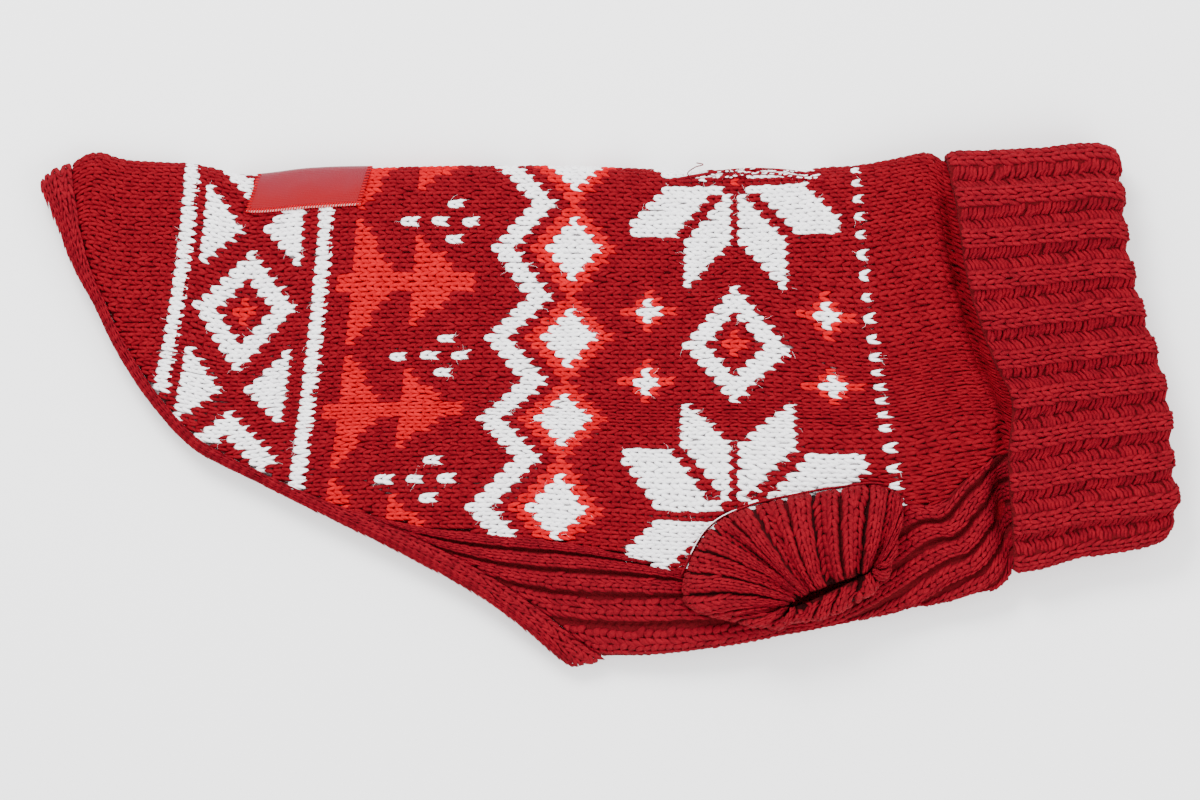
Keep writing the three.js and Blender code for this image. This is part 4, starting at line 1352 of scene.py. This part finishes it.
def add_far_sleeve():
    turn = np.arange(FAR_SLEEVE_POINTS) / FAR_SLEEVE_POINTS
    base = sleeve_outline.at(turn) - SLEEVE_MIDDLE
    ribs = 1 + np.cos(CIRCLE * SLEEVE_RIBS * turn)
    rings = []
    for share, height in FAR_SLEEVE_SECTION:
        towards = smooth((FAR_SLEEVE_EDGE - share) / (FAR_SLEEVE_EDGE - FAR_CUFF["share"]))
        middle = mix(np.array(SLEEVE_MIDDLE), np.array([FAR_CUFF["x"], FAR_CUFF["y"]]), towards)
        bottom, top = FAR_RIBS["floor"] + FAR_RIBS["under"] * ribs, height - FAR_RIBS["top"] * ribs
        lift = bottom if height == 0 else top
        rings.append(np.column_stack([middle + base * share, lift]))
    rings = np.array(rings).transpose(1, 0, 2)
    return add_tube_cloth("far_sleeve_cloth", "sleeve_far", rings, FAR_TONES[GROUND])


# Label: a blank satin strip over the spine fold, sewn down all round

LABEL_STITCH = 1.5
LABEL_PUFF = 0.5
LABEL_PUFF_WIDTH = 4
LABEL_WAVE = 0.18
LABEL_TOP = 0.5
LABEL_UNDER = -0.15
LABEL_THREAD = 0.24


def label_point(share, from_spine, side, height):
    x = mix(LABEL["from"], LABEL["to"], share) + LABEL["lean"] * from_spine
    puff = LABEL_PUFF * np.sin(math.pi * np.clip(share, 0, 1)) * bell(from_spine, LABEL_PUFF_WIDTH)
    plan = np.stack([x, table_at(spine_fold[0], x) - from_spine], axis=-1)
    return skin(plan, side, -height - puff)


def add_label():
    far = [(-1, LABEL["far"] * share) for share in steps(1, 0.02, 16)]
    near = [(1, LABEL["near"] * share) for share in steps(0, 1, 34) ** 1.2]
    side, off = np.array(far + near).T
    share, off = np.meshgrid(steps(0, 1, 70), off, indexing="ij")
    wave = LABEL_WAVE * np.sin(9 * share + 0.4 * off) * np.sin(0.5 * off) * (side > 0)
    outer = label_point(share, off, side, LABEL["gap"] + LABEL_TOP + wave)
    inner = label_point(share, off, side, LABEL["gap"] + LABEL_UNDER + wave)
    outer[..., 2] = np.maximum(outer[..., 2], CLEAR / 2)
    form = closed_sheet(outer, inner, np.stack([share, off / LABEL["near"]], axis=-1))
    return add_piece("label_satin", satin, form, node="label"), [add_label_stitches()]


def add_label_stitches():
    """Short threads across the label's near edges."""
    near = LABEL["near"]
    ends = []
    for share in steps(0.01, 0.99, int((LABEL["to"] - LABEL["from"]) / LABEL_STITCH * 1.6)):
        ends.append(((share, near + 0.5), (share + 0.006, near - 1.3)))
    for off in steps(0.5, near, int(near / LABEL_STITCH * 1.8)):
        ends.append(((-0.012, off), (0.035, off + 0.25)))
        ends.append(((1.012, off), (0.965, off + 0.25)))
    k = steps(0, 1, 5)
    height = LABEL["gap"] + LABEL_TOP + 0.3 * np.sin(math.pi * k)
    paths = [label_point(mix(s0, s1, k), mix(o0, o1, k), 1, height) for (s0, o0), (s1, o1) in ends]
    form = joined([thread_tube(path, LABEL_THREAD) for path in paths])
    return add_piece("label_stitches", vivid_yarn, form)


def thread_tube(path, radius):
    """Points, triangles and thread coordinates of a closed tube along a path in mm."""
    count = len(path)
    along = unit(np.gradient(path, axis=0))
    side = unit(np.cross(along, (0.0, 0.0, 1.0)))
    up = np.cross(side, along)
    from_end = np.minimum(np.arange(count), np.arange(count)[::-1])
    thick = radius * np.sqrt(np.clip(from_end, 0.15, 1))
    rings = path[:, None] + thick[:, None, None] * (
        side[:, None] * np.cos(ring_turns)[None, :, None] + up[:, None] * np.sin(ring_turns)[None, :, None]
    )
    run = (arc_of(path) / COURSE)[:, None]
    threads = np.stack(np.broadcast_arrays(run, ring_turns[None] / CIRCLE), axis=-1)
    quads = grid_faces(count, SIDES, round_columns=True)
    fan = np.arange(1, SIDES - 1)
    low = np.stack([0 * fan, fan + 1, fan], axis=-1)
    high = (count - 1) * SIDES + np.stack([0 * fan, fan, fan + 1], axis=-1)
    faces = np.concatenate([quads[:, [0, 1, 2]], quads[:, [0, 2, 3]], low, high])
    return rings.reshape(-1, 3), faces, threads.reshape(-1, 2)


# Slit for a leash, close to the spine: two sewn lips round a dark gap, and a loose thread

SLIT_LOW = [(24.5, 78.6), (35.5, 79.6), (44.0, 80.6), (54.5, 81.6), (65.6, 80.4), (76.0, 79.2)]
SLIT_HIGH = [(24.5, 79.4), (35.0, 81.4), (46.0, 82.9), (56.0, 83.0), (66.0, 82.0), (76.0, 80.0)]
SLIT_THREADS = 64
SLIT_LIP = {"height": 0.35, "thick": 0.75}
SLIT_STITCH = {
    # ranges, or middle and spread
    "at": (0.12, 0.95), "run": (1.5, 0.4), "climb": (0.15, 0.28), "height": (0.5, 0.9),
    "stray": (0, 0.24), "thick": (0.2, 0.36),
}
LOOSE_HEIGHT = 0.8
LOOSE_THICK = 0.22
LOOSE_THREAD = [(29.5, 79.2, 0.3), (28.0, 81.5, 1.6), (30.5, 83.6, 2.0), (33.5, 84.6, 1.2), (31.0, 85.2, 0.0)]


def add_slit():
    parts, pale = [], []
    for rows in (SLIT_LOW, SLIT_HIGH):
        lip = on_skin(Curve(rows).at(steps(0, 1, 60)), SLIT_LIP["height"])
        parts.append(thread_tube(lip, SLIT_LIP["thick"]))
    s = steps(0, 1, 5)
    for k in range(SLIT_THREADS):
        x, y = Curve(SLIT_LOW if k % 3 else SLIT_HIGH).at(random.uniform(*SLIT_STITCH["at"]))
        run, climb = random.normal(*SLIT_STITCH["run"]), random.normal(*SLIT_STITCH["climb"])
        lift = random.uniform(*SLIT_STITCH["height"]) + 0.5 * np.sin(math.pi * s)
        stray = random.normal(*SLIT_STITCH["stray"])
        stitch = on_skin(np.stack([x + run * s, y + climb * s + stray], axis=-1), lift)
        form = thread_tube(stitch, random.uniform(*SLIT_STITCH["thick"]))
        (parts if k % 4 == 0 else pale).append(form)
    loose = np.array(LOOSE_THREAD)
    rise = np.interp(steps(0, 1, 30), s, loose[:, 2])
    path = on_skin(Curve(loose[:, :2]).at(steps(0, 1, 30)), LOOSE_HEIGHT + rise)
    parts.append(thread_tube(path, LOOSE_THICK))
    return [
        add_piece("slit_lips", rib_yarn, joined(parts)),
        add_piece("slit_stitches", white_yarn, joined(pale)),
    ]


# Sewing thread that shows along the arm opening, with a white stretch

ARM_SEAM = (0.045, 0.44)
ARM_SEAM_THICK = 0.5
ARM_SEAM_WHITE = slice(8, 34)
ARM_SEAM_WHITE_THICK = 0.24


def add_arm_seam():
    turn = steps(*ARM_SEAM, 90)
    out = 1.03 + 0.008 * np.sin(60 * turn)
    edge = SLEEVE_MIDDLE + (sleeve_outline.at(turn) - SLEEVE_MIDDLE) * out[:, None]
    path = on_skin(edge, 0.5)
    shown = path[ARM_SEAM_WHITE] + (0, 0.3, 0.3)
    return [
        add_piece("arm_seam", rib_yarn, thread_tube(path, ARM_SEAM_THICK)),
        add_piece("arm_seam_white", white_yarn, thread_tube(shown, ARM_SEAM_WHITE_THICK)),
    ]


# Fine wool fibres that stand off the knit

FIBRE = {
    "long": 2.3, "lengths": (0.5, 1.4), "wide": 0.034, "taper": 0.35, "bend": 0.7,
    "root": 0.25, "lift": 0.65, "lifts": (0.2, 1.0), "start": (0, 1.4), "beside": (-0.4, 0.4),
}
FIBRE_FACES = np.array([(0, 1, 3), (0, 3, 2), (2, 3, 5), (2, 5, 4)])
FIBRE_THREADS = [(0.0, 0.0), (0.0, 0.5), (0.5, 0.0), (0.5, 0.5), (1.0, 0.0), (1.0, 0.5)]


def fibres(field, course, wale, per_loop):
    """Bent ribbons of two quads each, as triangles, that start on loops."""
    count = int(len(course) * per_loop)
    chosen = random.integers(0, len(course), count)
    c = course[chosen] + random.uniform(*FIBRE["start"], count)
    w = wale[chosen] + 0.5 + random.uniform(*FIBRE["beside"], count)
    heading = random.uniform(0, CIRCLE, count)
    bend = random.normal(0, FIBRE["bend"], count)
    long = FIBRE["long"] * random.uniform(*FIBRE["lengths"], count)
    points = []
    for k in range(3):
        way = heading + bend * k / 2
        along, across = np.cos(way), np.sin(way)
        height = FIBRE["root"] + FIBRE["lift"] * random.uniform(*FIBRE["lifts"], count) * k / 2
        wide = FIBRE["wide"] * (1 - FIBRE["taper"] * k)
        for hand in (-1, 1):
            c_k = c + (long * k / 2 * along - hand * wide * across) / COURSE
            w_k = w + (long * k / 2 * across + hand * wide * along) / WALE
            points.append(field.place(c_k, w_k, height))
    return copies(np.stack(points, axis=1), FIBRE_FACES, FIBRE_THREADS)


def add_back_fibres():
    course, wale = back_cells()
    yarn = yarn_at(course, wale)
    return [
        add_piece(name, material, fibres(back, course[yarn == kind], wale[yarn == kind], per_loop))
        for name, material, kind, per_loop in (
            ("back_fibres_red", deep_yarn, GROUND, 1.8),
            ("back_fibres_white", white_yarn, WHITE, 2.0),
            ("back_fibres_bright", vivid_yarn, BRIGHT, 1.8),
        )
    ]


back_cloth, back_loops = add_back()
back_loops += add_back_fibres()
belly_cloth, belly_loops = add_belly()
band_cloth, band_loops = add_band()
collar_cloth, collar_loops = add_collar()
sleeve_cloth, sleeve_loops = add_sleeve()
far_sleeve_cloth = add_far_sleeve()
label_satin, label_stitches = add_label()
slit_threads = add_slit()
arm_seam = add_arm_seam()

# Studio

FLOOR_COLOUR = (0.96, 0.96, 0.965, 1)
WORLD_STRENGTH = 2.1
PHOTO_WIDTH = 0.42
PHOTO_MIDDLE = (-2.6, 2.3, 0)
CAMERA_HEIGHT = 1.5
SENSOR = 36


def add_stage():
    bpy.ops.mesh.primitive_plane_add(size=4, location=(0, 0, -0.0004))
    floor = bpy.context.object
    floor.name = "floor"
    material = bpy.data.materials.new("pale_floor")
    material.use_nodes = True
    shader = material.node_tree.nodes["Principled BSDF"]
    shader.inputs["Base Color"].default_value = FLOOR_COLOUR
    shader.inputs["Roughness"].default_value = 0.9
    floor.data.materials.append(material)


def add_light(name, place, size, power):
    data = bpy.data.lights.new(name, "AREA")
    data.shape = "DISK"
    data.size = size
    data.energy = power
    light = bpy.data.objects.new(name, data)
    light.location = place
    light.rotation_euler = (-Vector(place)).to_track_quat("-Z", "Y").to_euler()
    bpy.context.scene.collection.objects.link(light)


def add_camera():
    data = bpy.data.cameras.new("camera")
    data.sensor_width = SENSOR
    data.lens = SENSOR * CAMERA_HEIGHT / PHOTO_WIDTH
    camera = bpy.data.objects.new("camera", data)
    place = to_metres(PHOTO_MIDDLE)
    camera.location = (place[0], place[1], CAMERA_HEIGHT + 0.012)
    bpy.context.scene.collection.objects.link(camera)
    bpy.context.scene.camera = camera


def add_world():
    world = bpy.data.worlds.new("studio")
    bpy.context.scene.world = world
    world.use_nodes = True
    backdrop = world.node_tree.nodes["Background"]
    backdrop.inputs["Color"].default_value = (1.0, 1.0, 1.0, 1)
    backdrop.inputs["Strength"].default_value = WORLD_STRENGTH


add_stage()
add_light("key", (-0.35, 0.75, 0.95), size=0.5, power=21)
add_light("fill", (0.8, -0.5, 0.9), size=0.9, power=10)
add_camera()
add_world()
